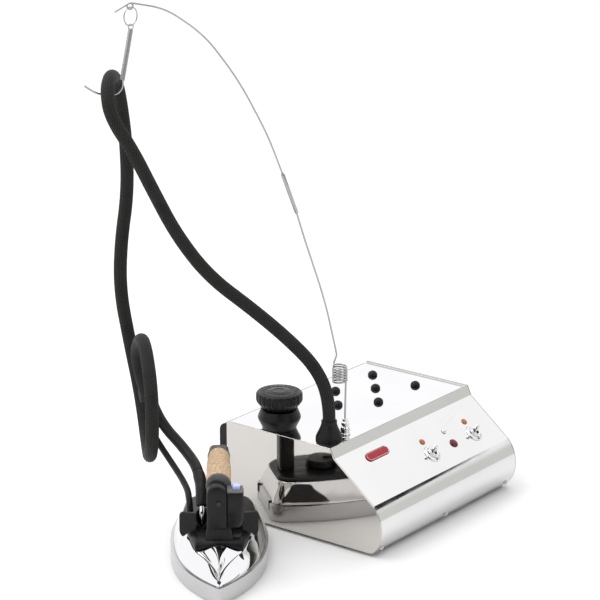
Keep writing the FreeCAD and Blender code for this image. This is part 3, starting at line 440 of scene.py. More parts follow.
STEAM_ROUTE = [
    STEAM_EXIT, STEAM_EXIT + HOSE_END * 14 * MM, at(-208.5, 214, 119.5), at(-209, 195, 107.5),
    at(-213, 178, 98.5), SLEEVE_ROUTE[0] + SLEEVE_BACK * 14 * MM, SLEEVE_ROUTE[0] + SLEEVE_BACK * 0.1 * MM]
CABLE_END = on_iron(110, 30, 50.9)
CABLE_ROUTE = [
    CABLE_EXIT, CABLE_EXIT + HOSE_END * 14 * MM, at(-214, 231, 117), at(-213, 218, 100),
    at(-216, 200, 86), at(-226, 178, 77), at(-240, 158, 73), at(-253, 145, 69.5),
    CABLE_END + Z * 10 * MM, CABLE_END]


def cord(name, route, diameter_mm, slot, radius, sides, roll=0.0, **facts):
    """A cord's mesh along its smooth line."""
    line = even(smooth_line(route), 2.5 * MM)
    points, faces, uvs = tube(line, radius, sides, roll)
    made = piece(name, points, faces, slot, replaces=facts.pop("replaces"), uvs=uvs)
    return made


def sleeve_radius(share, turn):
    """Lengthwise ribs round the sleeve, fading at its two ends."""
    fade = min(1.0, share * 60, (1 - share) * 60)
    return (HOSE_D / 2 - 0.22 + 0.22 * math.cos(18 * turn) * fade) * MM


def main_hose():
    hose = cord("main_hose_sleeve", HOSE_ROUTE, HOSE_D, "black_fabric", sleeve_radius, 108, 0.6,
                far_end="fitting", stiffness="limp", lay="hanging", replaces=["main_hose"],
                with_pieces=[split_boot()])
    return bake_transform(hose)


def split_boot():
    profile = [(0, -3), (6.9, -3), (7.5, -2.4), (7.75, 0), (8.1, 1.0), (7.9, 1.8), (8.5, 4.5), (9.1, 8.4),
               (9.0, 9.4), (8.4, 9.9), (0, 9.9)]
    points, faces = lathe(profile, SPLIT, HOSE_END, 64)
    return piece("hose_split_boot", points, faces, "black_rubber", "housing", ["split_boot"])


def steam_lead():
    lead = cord("steam_lead_hose", STEAM_ROUTE, LEAD_D, "dark_rubber", plain_radius(LEAD_D), 40,
                far_end="object", stiffness="limp", lay="loose", replaces=["steam_lead"])
    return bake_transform(lead)


def iron_cable():
    cable = cord("iron_cable_cord", CABLE_ROUTE, CABLE_D, "dark_rubber", plain_radius(CABLE_D), 28,
                 far_end="object", stiffness="limp", lay="loose", replaces=["iron_cable"])
    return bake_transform(cable)


def lead_sleeve():
    """Shrink sleeve over the lead's end, drawn in at both ends and a little wrinkled."""
    def radius(share, turn):
        ends = min(1.0, share * 9, (1 - share) * 9)
        wrinkle = 0.12 * math.sin(share * 70) * math.cos(3 * turn)
        return (5.75 + 0.6 * ends**0.5 + wrinkle * ends) * MM
    line = even(smooth_line(SLEEVE_ROUTE), 0.8 * MM)
    points, faces, uvs = tube(line, radius, 48)
    return piece("steam_lead_sleeve", points, faces, "black_rubber", "iron", ["lead_sleeve"], uvs)


def hose_boot():
    """Flared rubber boot with a lip where the hose leaves it."""
    profile = [(0, 0.1), (14.3, 0.1), (14.5, 0.6), (14.45, 2.2), (13.9, 4.2), (12.6, 7.2), (11.2, 10.0),
               (9.9, 12.9), (8.9, 15.6), (8.3, 18.0), (8.1, 19.2), (8.5, 19.7), (8.45, 20.8), (7.6, 21.2),
               (7.1, 21.0), (0, 21.0)]
    points, faces = lathe(profile, BOOT, sides=80)
    return piece("hose_outlet_boot", points, faces, "black_rubber", "housing", ["hose_boot"])


# --- the whip -------------------------
WHIP_FOOT, BOW = (-80.4, 71.2), Vector((-0.743, 0.669, 0)).normalized()
COIL_LOW, COIL_HIGH, COIL_R, COIL_TURNS, WIRE_D = 59.0, 78.0, 6.7, 6.5, 2.0
COIL_SWELL = 1.0                             # the coil is this much wider between its two ends


def bow_point(reach, height):
    """A point in the whip's plane: reach along the bow, height above the tray."""
    return at(*WHIP_FOOT, TRAY + height) + BOW * reach * MM


def whip_coil():
    """Lower wire and open coil, as one wire that bends between housing and whip."""
    foot = [bow_point(0, 7.2), bow_point(0, 24), bow_point(-0.3, 42), bow_point(-0.5, COIL_LOW - 3)]
    points = smooth_line(foot)
    centre = bow_point(6.2, COIL_LOW)
    across = Z.cross(BOW)
    steps = int(COIL_TURNS * 40)
    for i in range(steps + 1):
        turn = math.pi + math.tau * COIL_TURNS * i / steps
        rise = (COIL_HIGH - COIL_LOW) * i / steps
        radius = COIL_R + COIL_SWELL * min(1.0, 8 * i / steps, 8 * (1 - i / steps))
        spoke = BOW * math.cos(turn) + across * math.sin(turn)
        points.append(centre + spoke * radius * MM + Z * rise * MM)
    coil = wire("whip_coil_wire", even(points, 0.7 * MM), WIRE_D, "spring_steel",
                replaces=["antenna_spring"])
    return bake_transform(coil)


EYE = bow_point(222.3, 471.2)
EYE_R, RING_R, RING_WIRE = 3.0, 9.3, 0.8
RING_TURN = math.radians(50)
RING_AT = EYE - Z * (EYE_R - 0.9 + RING_R - RING_WIRE - 0.35) * MM - BOW * 0.4 * MM


def whip_ferrule():
    """Plain metal sleeve that joins the whip's two wires."""
    low, high = bow_point(52.5, 248.0), bow_point(67.0, 289.5)
    length = (high - low).length / MM
    profile = [(0, 0.1), (1.7, 0.1), (2.1, 0.5), (2.1, length), (1.4, length + 2.8), (1.1, length + 3),
               (0, length + 3)]
    points, faces = lathe(profile, low, (high - low).normalized(), 24)
    return piece("whip_ferrule_sleeve", points, faces, "spring_steel", "antenna", ["whip_ferrule"])


def split_ring():
    """Two turns of thin wire through the whip's eye, turned well away from the eye's plane."""
    facing = Z.cross(BOW) * math.cos(RING_TURN) + BOW * math.sin(RING_TURN)
    normal = facing.cross(Z)
    steps, points = 144, []
    for i in range(steps + 1):
        turn = math.pi / 2 + 2 * math.tau * i / steps
        spoke = facing * math.cos(turn) + Z * math.sin(turn)
        points.append(RING_AT + (spoke * (RING_R + 0.1) + normal * 0.9 * (i / steps - 0.5)) * MM)
    return wire("split_ring_wire", points, 1.0, "spring_steel", "antenna", ["hook_ring"], sides=10)


def hook_spring():
    """Close-wound tension spring with an end loop that links into the ring."""
    top, low = RING_AT - Z * (RING_R + 3.4) * MM, bow_point(231.5, 396.5)
    heading = (low - top).normalized()
    side, over = square_to(heading)
    gauge, radius, length, per_turn = 0.95, 2.2, (low - top).length, 14
    turns = int(length / (gauge * MM)) - 1
    points = []
    for i in range(turns * per_turn + 1):
        turn = math.tau * i / per_turn
        spoke = side * math.cos(turn) + over * math.sin(turn)
        points.append(top + heading * length * i / (turns * per_turn) + spoke * radius * MM)
    wire("hook_spring_wire", points, gauge, "spring_steel", "antenna", ["hook_spring"], sides=8)
    facing = Z.cross(BOW) * -0.89 - BOW * 0.45
    a, b = square_to(facing)
    middle = RING_AT - Z * (RING_R + 1.2) * MM
    loop = [middle + (a * math.cos(t) + b * math.sin(t)) * 2.6 * MM
            for t in [math.tau * i / 30 for i in range(30)]]
    wire("hook_spring_loop", loop, 1.1, "spring_steel", "antenna")


def socket():
    """Plated foot with a turned ball, a neck and the split collar that grips the wire."""
    foot = at(*WHIP_FOOT, TRAY)
    profile = [(0, 0.1), (5.7, 0.1), (6.0, 0.5), (5.9, 1.6), (5.0, 2.1), (4.6, 2.8), (5.2, 4.2),
               (5.45, 5.8), (5.1, 7.6), (4.1, 9.0), (3.2, 9.5), (3.1, 10.3), (4.2, 10.7), (4.4, 11.2),
               (4.4, 13.6), (4.1, 14.1), (2.6, 14.3), (2.5, 15.4), (3.0, 15.8), (3.1, 17.6), (2.7, 18.2),
               (1.15, 18.3), (0, 18.3)]
    points, faces = lathe(profile, foot, sides=56)
    piece("whip_socket_body", points, faces, "chrome", "housing", ["antenna_socket"])
    side = Z.cross(BOW)
    head = [(0, 5.6), (1.5, 5.6), (1.8, 5.3), (1.8, 4.2), (1.3, 4.1), (1.3, -4.4), (1.9, -4.5),
            (1.9, -5.7), (0, -5.7)]
    points, faces = lathe(head, foot + Z * 12.4 * MM, side, 20)
    return piece("whip_socket_screw", points, faces, "screw_steel", "housing")


# --- filler and cap -------------------
FILLER = at(-106.3, 140.3, TRAY)


def cap_knob():
    """Knob with a hub below and a ribbed rim; its top carries raised rings and short ridges."""
    rim_low, rim_high, ridges = 8, 14, (19, 20)     # rows of the profile
    sides, ribs, rib_deep, ridge_high = 288, 24, 0.75, 0.35
    profile = [(0, 36.0), (13.4, 36.0), (13.4, 17.8), (14.6, 17.8), (14.6, 23.2), (15.2, 23.7),
               (18.4, 23.7), (18.9, 23.6), (22.2, 27.4), (24.4, 30.4), (25.1, 31.6), (25.2, 33.0),
               (25.2, 36.0), (25.1, 38.6), (24.7, 39.8), (23.4, 40.9), (22.2, 41.2), (21.6, 40.9),
               (20.9, 40.9),
               (20.3, 41.3), (16.0, 41.6), (15.0, 41.6), (14.6, 41.2), (14.0, 41.2), (13.6, 41.7),
               (8.0, 42.1), (7.4, 42.3), (6.8, 42.3), (6.3, 42.0), (3.0, 42.1), (0, 42.1)]

    def shape(i, radius, turn):
        if rim_low <= i <= rim_high:
            return radius - rib_deep * max(0.0, math.cos(ribs * turn)) ** 0.6
        return radius

    points, faces = lathe(profile, FILLER, sides=sides, shape=shape)
    for i in ridges:
        for j in range(sides):
            wave = max(0.0, math.cos(ribs * math.tau * j / sides))
            points[i * sides + j].z += ridge_high * MM * wave
    knob = piece("cap_knob_ribbed", points, faces, "black_plastic", "cap_knob", ["cap_shell"])
    return bevelled(knob, 0.15)


def filler_collar():
    profile = [(12.2, 0.2), (18.0, 0.2), (18.4, 0.6), (18.6, 1.6), (19.6, 3.8), (21.2, 7.0), (22.4, 9.4),
               (23.1, 11.2), (23.35, 12.2), (23.2, 13.4), (22.6, 15.2), (21.4, 18.4), (20.4, 21.0),
               (20.1, 21.5), (19.5, 21.6), (18.5, 21.4), (18.0, 20.8), (16.2, 17.6), (14.2, 14.0),
               (13.1, 9.4), (12.5, 8.6), (12.2, 8.3), (12.2, 0.2)]
    points, faces = lathe(profile, FILLER, sides=96)
    collar = piece("filler_collar_moulding", points, faces, "black_plastic", "housing", ["filler_collar"])
    collar.data.set_sharp_from_angle(angle=math.radians(9))
    return collar


# --- tray pads and badge --------------
PAD_FIRST_X, PAD_FIRST_Y, PAD_STEP_X, PAD_STEP_Y = 94.8, 162.0, 35.5, 29.8
PAD_R, PAD_FOOT, PAD_HIGH = 5.45, 0.6, 5.5


def rest_pads():
    """Six rubber domes in a staggered pattern, to park the hot iron on."""
    slopes = [math.radians(10 * i) for i in range(1, 9)]
    dome = [(0, 0.1), (5.2, 0.1), (PAD_R, 0.5)]
    dome += [(PAD_R * math.cos(t), PAD_FOOT + (PAD_HIGH - PAD_FOOT) * math.sin(t)) for t in slopes]
    dome.append((0, PAD_HIGH))
    points, faces = [], []
    for column, row in ((0, 0), (0, 2), (1, 1), (2, 0), (2, 2), (3, 1)):
        foot = at(PAD_FIRST_X - PAD_STEP_X * column, PAD_FIRST_Y - PAD_STEP_Y * row, TRAY)
        add_shell(points, faces, lathe(dome, foot, sides=40))
    return piece("tray_rest_pads", points, faces, "black_rubber", "housing", ["rest_pads"])


PANEL_DOWN = Vector((0, -51.7, -41.1)).normalized()
PANEL_OUT = Vector((0, PANEL_DOWN.z, -PANEL_DOWN.y))


def on_panel(x, down, out=0.0):
    return at(x, 49.0, 98.8) + (PANEL_DOWN * down + PANEL_OUT * out) * MM


BADGE_LEFT, BADGE_RIGHT, BADGE_HIGH, BADGE_LOW = -87.5, -49.0, 9.8, 20.4
BADGE_HALF, BADGE_MIDDLE = (BADGE_LOW - BADGE_HIGH) / 2, (BADGE_LOW + BADGE_HIGH) / 2


def badge():
    """Blank enamel plate with round ends and a thin raised border."""
    rows = [(0.0, 0.1), (0.0, 0.9), (0.25, 1.2), (1.0, 1.25), (1.15, 1.02), (1.4, 1.0), (5.2, 1.15)]
    points, steps = [], 24
    for inset, out in rows:
        radius = BADGE_HALF - inset
        for end, start in ((BADGE_RIGHT - BADGE_HALF, -90), (BADGE_LEFT + BADGE_HALF, 90)):
            for i in range(steps + 1):
                a = math.radians(start + 180 * i / steps)
                points.append(on_panel(end + radius * math.cos(a), BADGE_MIDDLE + radius * math.sin(a), out))
    columns = 2 * (steps + 1)
    faces = grid_faces(len(rows), columns)
    faces.append(tuple(range((len(rows) - 1) * columns, len(rows) * columns)))
    return piece("badge_blank", points, faces, "red_enamel", "housing", ["badge_plate"], smooth=False)


def badge_border():
    """Thin bright line set just inside the badge's edge."""
    inset, steps = 1.1, 24
    radius = BADGE_HALF - inset
    centres = ((BADGE_RIGHT - radius - inset, -90), (BADGE_LEFT + radius + inset, 90))
    line = []
    for end, start in centres:
        for i in range(steps + 1):
            a = math.radians(start + 180 / steps * i)
            line.append(on_panel(end + radius * math.cos(a), BADGE_MIDDLE + radius * math.sin(a), 1.2))
    line += line[:2]
    return wire("badge_border_line", line, 0.5, "polished_steel", "housing", sides=8)


TOGGLES_X, TOGGLE_DOWN = (4.5, 86.0), 42.5


def hexagon(i, radius, turn):
    """Flats on the outer rows of a nut."""
    bore = 6
    return radius if radius < bore else radius * (1 - 0.11 * abs(math.sin(3 * turn)))


def toggle_rings():
    """Domed chrome dress ring, hexagon nut and bush round each toggle's lever."""
    dress = [(4.8, 0.15), (10.3, 0.15), (10.4, 0.5), (10.2, 0.95), (9.6, 1.5), (8.6, 2.0), (7.9, 2.1),
             (7.5, 1.7), (7.2, 1.3), (4.8, 1.3)]
    nut = [(4.9, 1.3), (6.9, 1.3), (7.1, 1.5), (7.1, 3.2), (6.6, 3.6), (4.9, 3.6)]
    bush = [(3.7, 0.4), (4.7, 0.4), (4.7, 4.3), (4.5, 4.6), (3.9, 4.6), (3.7, 4.4), (3.7, 0.4)]
    points, faces = [], []
    for x in TOGGLES_X:
        foot = on_panel(x, TOGGLE_DOWN)
        for rows, sides, shape in ((dress, 72, None), (nut, 72, hexagon), (bush, 48, None)):
            add_shell(points, faces, lathe(rows, foot, PANEL_OUT, sides, shape))
    made = piece("toggle_dress_rings", points, faces, "chrome", "housing", ["toggle_nuts"])
    made.data.set_sharp_from_angle(angle=math.radians(35))
    return made


def clear_lamp():
    """The small middle lamp has a clear, mirror-backed dome in place of a coloured one."""
    slopes = [math.radians(12 * i) for i in range(8)]
    crown = [(2.9 * math.cos(t), 0.5 + 2.4 * math.sin(t)) for t in slopes]
    dome = [(3.0, 0.1), (3.1, 0.4), *crown, (0, 2.9)]
    points, faces = lathe(dome, on_panel(46, 25.3), PANEL_OUT, 40)
    return piece("clear_lamp_dome", points, faces, "chrome", "housing")


# --- the iron -------------------------
GRIP_Z = 97.5


def cork_grip():
    """Cork sleeve with softened ends and slightly uneven girth."""
    front, back = 85.2, 164.8
    rows = []
    for i in range(41):
        share = i / 40
        ends = min(1.0, (share * 26) ** 0.5, ((1 - share) * 26) ** 0.5)
        girth = 12.5 + 0.5 * math.sin(math.pi * share) - 1.1 * share**2
        rows.append((girth - 0.6 * (1 - ends), (back - front) * share))
    rows = [(4.2, 0), *rows, (4.2, back - front)]

    def shape(i, radius, turn):
        return radius + 0.09 * math.sin(3 * turn + i * 0.31) * (radius > 6)

    points, faces = lathe(rows, on_iron(front, 0, GRIP_Z), iron_direction(1, 0), 72, shape)
    return piece("cork_grip_sleeve", points, faces, "cork", "iron", ["grip"])


def grip_ferrules():
    """A ring at each end of the grip; the front one is the larger."""
    points, faces = [], []
    for place, facing, radius in ((82.0, 1, 13.2), (168.0, -1, 11.9)):
        rows = [(4.1, 0.05), (radius - 1.2, 0.05), (radius - 0.35, 0.3), (radius, 1.0), (radius, 2.4),
                (radius - 0.25, 2.85), (4.1, 2.95)]
        add_shell(points, faces, lathe(rows, on_iron(place, 0, GRIP_Z), iron_direction(facing, 0), 72))
    return piece("grip_ferrule_rings", points, faces, "grey_plastic", "iron", ["grip_ferrules"])


def three_point_arc(a, b, c, steps):
    """Points from a to c along the circle through a, b and c, all (x, y)."""
    ax, ay, bx, by, cx, cy = *a, *b, *c
    d = 2 * (ax * (by - cy) + bx * (cy - ay) + cx * (ay - by))
    ux = ((ax**2 + ay**2) * (by - cy) + (bx**2 + by**2) * (cy - ay) + (cx**2 + cy**2) * (ay - by)) / d
    uy = ((ax**2 + ay**2) * (cx - bx) + (bx**2 + by**2) * (ax - cx) + (cx**2 + cy**2) * (bx - ax)) / d
    radius = math.hypot(ax - ux, ay - uy)
    start, middle, end = (math.atan2(y - uy, x - ux) for x, y in (a, b, c))
    sweep = (end - start) % math.tau
    if (middle - start) % math.tau > sweep:
        sweep -= math.tau
    turns = [start + sweep * i / steps for i in range(steps)]
    return [(ux + radius * math.cos(t), uy + radius * math.sin(t)) for t in turns]


def sole_half():
    """The sole's left side from its tip to its heel, as (a, b)."""
    spots = [(1.5, 2.4), (37, 29.0), (106, 50.0), (150, 51.0), (184, 46.0), (198, 38.5), (200, 24)]
    side = [(0.0, 0.0)]
    for i, steps in ((0, 26), (2, 12), (4, 8)):
        side += three_point_arc(*spots[i:i + 3], steps)
    return [*side, (200, 24), (200, 12), (200, 0)]


def inset_outline(half, inset):
    """The half outline moved in by inset; its first and last points stay on the middle line."""
    moved = []
    for i, (a, b) in enumerate(half):
        before, after = half[max(i - 1, 0)], half[min(i + 1, len(half) - 1)]
        da, db = after[0] - before[0], after[1] - before[1]
        size = math.hypot(da, db)
        moved.append((a + db / size * inset, b - da / size * inset))
    moved[0] = (half[0][0] + inset * 1.5, 0.0)
    moved[-1] = (half[-1][0] - inset, 0.0)
    return [(a, max(b, 0.0)) for a, b in moved]


def spread(points, count):
    """The same flat line as count evenly spaced points."""
    steps = [math.dist(a, b) for a, b in zip(points, points[1:])]
    total, spots, k, gone = sum(steps), [], 0, 0.0
    for i in range(count):
        goal = total * i / (count - 1)
        while k < len(steps) - 1 and gone + steps[k] < goal:
            gone += steps[k]
            k += 1
        t = (goal - gone) / steps[k]
        spots.append(tuple(u + (v - u) * t for u, v in zip(points[k], points[k + 1])))
    return spots


PROW_FRONT, PROW_BACK, PROW_WIDE, PROW_LOW, PROW_HIGH = 7, 60.0, 25.0, 21.5, 34.0
PROW_SHARE, EDGE_STEPS = 0.36, 100           # the prow's share of the crease; steps along the rest
DECK_EDGE = [(60, 25, 34), (68, 27.8, 35.6), (80, 31, 38.2), (100, 35, 41.2), (125, 38.5, 42), (150, 39, 42),
             (172, 36.5, 42), (184, 32, 42), (190, 24, 42), (190, 0, 42)]
DECK_LINE = spread(DECK_EDGE, EDGE_STEPS + 1)


def crease_point(share):
    """The line between flank and top: out along the prow, then round the guard's edge. The
    fourth value is the share of the prow that is passed."""
    if share <= PROW_SHARE:
        t = share / PROW_SHARE
        a = PROW_FRONT + (PROW_BACK - PROW_FRONT) * t
        return (a, PROW_WIDE * t**1.75, PROW_LOW + (PROW_HIGH - PROW_LOW) * t**0.9, t)
    k = (share - PROW_SHARE) / (1 - PROW_SHARE) * EDGE_STEPS
    low = min(int(k), EDGE_STEPS - 1)
    return (*[u + (v - u) * (k - low) for u, v in zip(DECK_LINE[low], DECK_LINE[low + 1])], 1.0)


def ridge_height(prow, inward):
    """How far the nose's rounded ridge stands above its creases, 0 at them and most midway."""
    return 7.6 * prow**0.8 * math.sin(math.pi / 2 * inward) ** 2


def iron_cover():
    """Chromed cover: full flanks, and a prow between two creases that run up from the nose."""
    columns, rim_inset, rim_z, inner_share = 90, 3.0, 19, 0.82
    rim = spread(inset_outline(sole_half(), rim_inset), columns)
    flank = [(0, 0), (0.01, 0.07), (0.06, 0.17), (0.15, 0.31), (0.28, 0.46), (0.42, 0.60), (0.56, 0.72),
             (0.70, 0.83), (0.82, 0.915), (0.91, 0.965), (0.97, 0.99), (1, 1)]
    lines = []
    for i, (ra, rb) in enumerate(rim):
        a, b, z, prow = crease_point(i / (columns - 1))
        line = [(ra + (a - ra) * w, rb + (b - rb) * w, rim_z + (z - rim_z) * up) for w, up in flank]
        behind = max(0.0, (a - PROW_BACK) / 6)
        inner = b * min(1.0, behind) * inner_share
        groove = min(1.0, b / 4)
        for step, down in ((0.8, 0.7), (1.7, 0.75), (2.6, 0.1)):
            line.append((a, b - min(step, b * 0.25 * step), z - down * groove * (behind == 0)))
        ledge = line[-1][1]
        for t in (0.12, 0.25, 0.38, 0.5, 0.62, 0.75, 0.88, 1.0):
            crown = ridge_height(prow, t) * (behind == 0)
            line.append((a, ledge + (inner - ledge) * t, z + crown))
        lines.append(line)
    points = [on_iron(a, side * b, z) for side in (1, -1) for line in lines for a, b, z in line]
    faces, wide = [], len(lines[0])
    for first, flip in ((0, False), (columns * wide, True)):
        for face in grid_faces(columns, wide, first, around=False):
            faces.append(tuple(reversed(face)) if flip else face)
    made = piece("iron_cover_shell", points, faces, "chrome", "iron", ["iron_cover"])
    merge(made.data, COVER_WELD, turn_outward=True)
    return made


def circle(centre, radius, sides=32):
    a, b = centre
    turns = [math.tau * i / sides for i in range(sides)]
    return [(a + radius * math.cos(t), b + radius * math.sin(t)) for t in turns]


class Build:
    """Gathers points and faces of several shells in iron millimetres for one piece."""

    def __init__(self):
        self.points, self.faces = [], []

    def rings(self, rings, around=True, caps=False):
        first, wide = len(self.points), len(rings[0])
        self.points += [p for ring in rings for p in ring]
        self.faces += grid_faces(len(rings), wide, first, around)
        if caps:
            self.faces.append(tuple(range(first + wide - 1, first - 1, -1)))
            last = len(self.points) - wide
            self.faces.append(tuple(range(last, last + wide)))

    def cap(self, loops, z):
        """A flat face with holes: loops[0] is its outline, the others are holes."""
        first = len(self.points)
        self.points += [(a, b, z) for loop in loops for a, b in loop]
        for tri in tessellate_polygon([[Vector((*p, 0)) for p in loop] for loop in loops]):
            self.faces.append(tuple(first + k for k in tri))

    def finish(self, name, slot, body, replaces, width, sharp=40):
        points = [on_iron(*p) for p in self.points]
        made = piece(name, points, self.faces, slot, body, replaces)
        merge(made.data, SHELL_WELD, turn_outward=True)
        return bevelled(made, width, 2, sharp)


PIPE_AT, CUP_AT, DIAL_AT, CABLE_AT = (100, 17.7), (100, -17.7), (135, 0), (110, 30)
GUARD_TOP = 46.1


def guard_base(build):
    """Apron that follows the cover's edge and rises to a flat deck with four holes."""
    half = [crease_point(PROW_SHARE + (1 - PROW_SHARE) * i / 40)[:3] for i in range(41)]
    front = [(PROW_BACK, b, PROW_HIGH + ridge_height(1, 1 - b / PROW_WIDE))
             for b in (0, 4, 8, 12, 16, 20, 23)]
    half = [*front, *half]
    loop = half[:-1] + [(a, -b, z) for a, b, z in reversed(half[1:])]

    def ring(inset, share):
        """The loop moved in, further at its front, at a share of the way up to the deck."""
        placed = []
        for a, b, low in loop:
            more = inset * (1 + 1.5 * max(0.0, 1 - (a - PROW_BACK) / 30))
            placed.append((a + more * (125 - a) / 62, b * (1 - inset / 36), low + (GUARD_TOP - low) * share))
        return placed

    slopes = [math.pi / 2 * i / 8 for i in range(1, 9)]
    rows = [ring(2.5, 0.3), ring(2.2, 0.06), ring(0.6, 0.04)]
    rows += [ring(0.6 + 4.2 * (1 - math.cos(t)), 0.04 + 0.96 * math.sin(t)) for t in slopes]
    build.rings(rows)
    holes = [circle(PIPE_AT, 5.6), circle(CUP_AT, 5.6), circle(DIAL_AT, 2.9), circle(CABLE_AT, 4.0)]
    build.cap([[(a, b) for a, b, _ in rows[-1]], *holes], GUARD_TOP)
    for hole in holes:
        build.rings([[(a, b, z) for a, b in hole] for z in (GUARD_TOP, GUARD_TOP - 3.4)])


def guard_wing(build, side):
    """Upright bowed plate beside the post, with round corners and a thicker rim."""
    low_edge = [(24, 44.2), (31, 44.2), (33.5, 42.8), (35.5, 40.6), (37.6, 39.2), (39.4, 40.8),
                (40.6, 43.4), (41, 46)]
    high_edge = [(24, 66), (30, 66), (36.5, 65.9), (38.6, 65.4), (40, 64.3), (40.7, 62.9),
                 (41, 61.2), (41, 60)]
    across, steps, wide, thick, lip, bow = 26, 10, 41, 3.2, 0.55, 7
    loops = []
    for (b0, low), (b1, high) in zip(spread(low_edge, across), spread(high_edge, across)):
        front, back = [], []
        for j in range(steps + 1):
            b, z = b0 + (b1 - b0) * j / steps, low + (high - low) * j / steps
            a = 83 + bow * (b / wide) ** 2
            front.append((a - (lip if j in (0, steps) else 0.0), side * b, z))
            back.append((a + thick, side * b, z))
        loops.append(front + list(reversed(back)))
    build.rings(loops, caps=True)


def guard_cup(build, at_ab, side):
    """Upright cup with its front cut down to the deck in a U."""
    wall = [(7.5, 0, 0), (7.5, 0.5, 1), (7.1, 0.05, 1), (6.1, 0.05, 1), (5.7, 0.5, 1), (5.7, 0, 0)]
    rows, steps = [], 48
    for radius, drop, level in wall:
        ring = []
        for i in range(steps):
            turn = math.tau * i / steps
            rise = 16.5 * (0.5 - 0.5 * math.cos(turn)) ** 0.62
            z = GUARD_TOP - 0.6 + level * (1.2 + rise - drop)
            ring.append((at_ab[0] - radius * math.cos(turn), at_ab[1] + side * radius * math.sin(turn), z))
        rows.append(ring)
    build.rings(rows)


def heat_guard():
    build = Build()
    guard_base(build)
    for side, spot in ((1, PIPE_AT), (-1, CUP_AT)):
        guard_wing(build, side)
        guard_cup(build, spot, side)
    return build.finish("heat_guard_moulding", "black_plastic", "iron", ["heat_shield"], 0.3)


def front_post():
    """Front upright with a rounded head, on a wider foot."""
    left, right, middle = 12.2, -8.2, 2.0
    arc = [(middle + 10.2 * math.cos(t), 94.6 + 9.6 * math.sin(t)) for t in
           [math.pi * i / 20 for i in range(21)]]
    outline = [(left, 60.5), *arc, (right, 60.5), (right + 0.7, 58.2), (right + 2.6, 57),
               (left - 2.6, 57), (left - 0.7, 58.2)]
    build = Build()
    build.rings([[(a, b, z) for b, z in outline] for a in (62.0, 81.8)], caps=True)
    half, low, waist, high = 11.2, 43, 55, 60.0
    foot = [(-half - 4.3, low), (half + 4.3, low), (half + 1.4, waist), (half, high), (-half, high),
            (-half - 1.4, waist)]
    build.rings([[(a, b, z) for b, z in foot] for a in (65.0, 81.6)], caps=True)
    return build.finish("front_post_moulding", "black_plastic", "iron", ["front_post"], 2.0, sharp=50)


def switch_block():
    """Steam switch's case, flush with the post, with its outer edge rounded."""
    top, waist, low, inner, outer = 95.8, 66.0, 58.0, -8.5, -25.6
    plan = [(64.2, inner), (64.2, outer + 4), (64.7, outer + 2), (66, outer + 0.6), (68, outer),
            (81.4, outer), (81.4, inner)]
    build = Build()
    build.rings([[(a, b, z) for a, b in plan] for z in (waist, top)], caps=True)
    foot = [(a, b + 3.5 * (b < -12)) for a, b in plan]
    build.rings([[(a, b, low) for a, b in foot], [(a, b, waist) for a, b in plan]], caps=True)
    return build.finish("steam_switch_case", "black_plastic", "iron", ["switch_housing"], 1.0, sharp=50)


# --- carried-over CAD nodes -----------
def finish_nodes():
    """Every CAD node that still shows gets its slot's material and softened edges."""
    slots = {part["node"]: part["material_slot"] for part in frame["record"]["subparts"]}
    for name, node in NODES.items():
        node.data.materials.clear()
        node.data.materials.append(PAINTS[slots[name]])
        weld = node.modifiers.new("weld", "WELD")
        weld.merge_threshold = 0.002 * MM
        bevelled(node, 0.25, 2, 40)
        flat = node.modifiers.new("flat_faces", "WEIGHTED_NORMAL")
        flat.weight, flat.keep_sharp = 100, True


# --- stage, light ---------------------
def make_floor():
    mesh = bpy.data.meshes.new("floor")
    half = 20.0
    corners = [(-half, -half, 0), (half, -half, 0), (half, half, 0), (-half, half, 0)]
    mesh.from_pydata(corners, [], [(0, 1, 2, 3)])
    paint = Paint("floor_paper", (0.92, 0.92, 0.92), 0.6)
    paint.tint(paint.span(paint.noise(40, 4), 0.4, 0.8), (0.915, 0.915, 0.915))
    mesh.materials.append(paint.material)
    floor = bpy.data.objects.new("floor", mesh)
    bpy.context.scene.collection.objects.link(floor)


# The surround's tones: low down in front, then above and behind, then the two dark patches.
LOW_TONE, HIGH_TONE = (0.66, 0.655, 0.635, 1), (1.05, 1.05, 1.06, 1)
DARK_TONE, FLAG_TONE = (0.05, 0.05, 0.05, 1), (0.03, 0.025, 0.025, 1)
STRENGTH = 1.14
HIGH_FROM_Z, HIGH_FROM_Y = (0.22, 0.5), (-0.45, 0.25)
DARK_AT, DARK_FROM = Vector((-0.75, -0.58, 0.32)).normalized(), (0.80, 0.93)

# A narrow black flag stands at the edge of the bright surround, front right. Its lower edge
# is at height FLAG_LOW where the direction's x is FLAG_START, and rises by FLAG_RISE per unit.
# It is cut off above FLAG_HIGH, left of FLAG_LEFT and behind FLAG_FRONT.
FLAG_START, FLAG_LOW, FLAG_HIGH, FLAG_RISE, FLAG_SOFT = 0.755, 0.366, 0.53, 2.5, 0.01
FLAG_LEFT, FLAG_FRONT = 0.6, -0.3


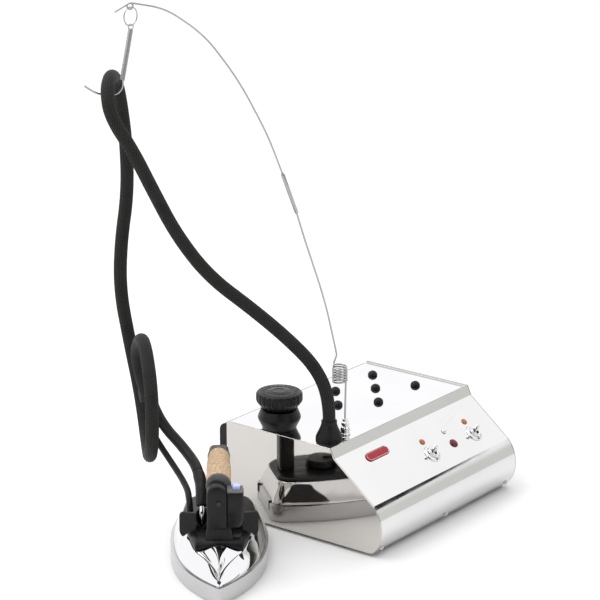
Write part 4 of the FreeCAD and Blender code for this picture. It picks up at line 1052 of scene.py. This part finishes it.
def make_world():
    """Studio surround: bright above and behind, greyer low down in front, with a dark patch at
    the front left and the flag at the front right."""
    world = bpy.data.worlds.new("studio")
    world.use_nodes = True
    nodes, links = world.node_tree.nodes, world.node_tree.links

    def feed(socket, value):
        if isinstance(value, bpy.types.NodeSocket):
            links.new(value, socket)
        else:
            socket.default_value = value

    def node(kind, *values, **settings):
        """A node with its settings, and its first inputs as values or links."""
        made = nodes.new("ShaderNode" + kind)
        for name, value in settings.items():
            setattr(made, name, value)
        for socket, value in zip(made.inputs, values):
            feed(socket, value)
        return made

    def math_node(operation, first, second):
        return node("Math", first, second, operation=operation).outputs[0]

    def span(source, low, high, kind="SMOOTHSTEP"):
        return node("MapRange", source, low, high, interpolation_type=kind).outputs["Result"]

    direction = node("TexCoord").outputs["Generated"]
    x, y, z = node("SeparateXYZ", direction).outputs
    high = math_node("MAXIMUM", span(z, *HIGH_FROM_Z), span(y, *HIGH_FROM_Y))
    facing = node("VectorMath", direction, DARK_AT, operation="DOT_PRODUCT").outputs["Value"]
    dark = span(facing, *DARK_FROM)
    edge = math_node("MULTIPLY", math_node("SUBTRACT", x, FLAG_START), FLAG_RISE)
    above = math_node("SUBTRACT", math_node("SUBTRACT", z, FLAG_LOW), edge)
    limits = math_node("MULTIPLY", math_node("LESS_THAN", z, FLAG_HIGH),
                       math_node("LESS_THAN", y, FLAG_FRONT))
    limits = math_node("MULTIPLY", limits, math_node("GREATER_THAN", x, FLAG_LEFT))
    flag = math_node("MULTIPLY", span(above, 0.0, FLAG_SOFT, "LINEAR"), limits)

    color = LOW_TONE
    for mask, tone in ((high, HIGH_TONE), (dark, DARK_TONE), (flag, FLAG_TONE)):
        mix = node("Mix", data_type="RGBA")
        feed(mix.inputs["A"], color)
        feed(mix.inputs["B"], tone)
        feed(mix.inputs["Factor"], mask)
        color = mix.outputs["Result"]
    background = nodes["Background"]
    feed(background.inputs["Color"], color)
    feed(background.inputs["Strength"], STRENGTH)
    bpy.context.scene.world = world


def make_light(name, place, target, size, power):
    data = bpy.data.lights.new(name, "AREA")
    data.shape, data.size, data.energy = "DISK", size, power
    light = bpy.data.objects.new(name, data)
    light.location = place
    light.rotation_mode = "QUATERNION"
    light.rotation_quaternion = (Vector(target) - Vector(place)).to_track_quat("-Z", "Y")
    bpy.context.scene.collection.objects.link(light)


PAINTS = make_paints()
make_camera()
main_hose()
steam_lead()
iron_cable()
lead_sleeve()
hose_boot()
whip_coil()
whip_ferrule()
split_ring()
hook_spring()
cap_knob()
filler_collar()
rest_pads()
badge()
cork_grip()
grip_ferrules()
iron_cover()
heat_guard()
front_post()
switch_block()
socket()
badge_border()
toggle_rings()
clear_lamp()
finish_nodes()
make_floor()
make_world()
make_light("overhead", (-0.7, 0.9, 2.4), (0, 0, 0.1), 1.5, 17)
make_light("left_front", (-2.2, -0.6, 1.5), (-0.1, 0, 0.1), 1.0, 4)
bpy.context.scene.view_settings.view_transform = "Standard"
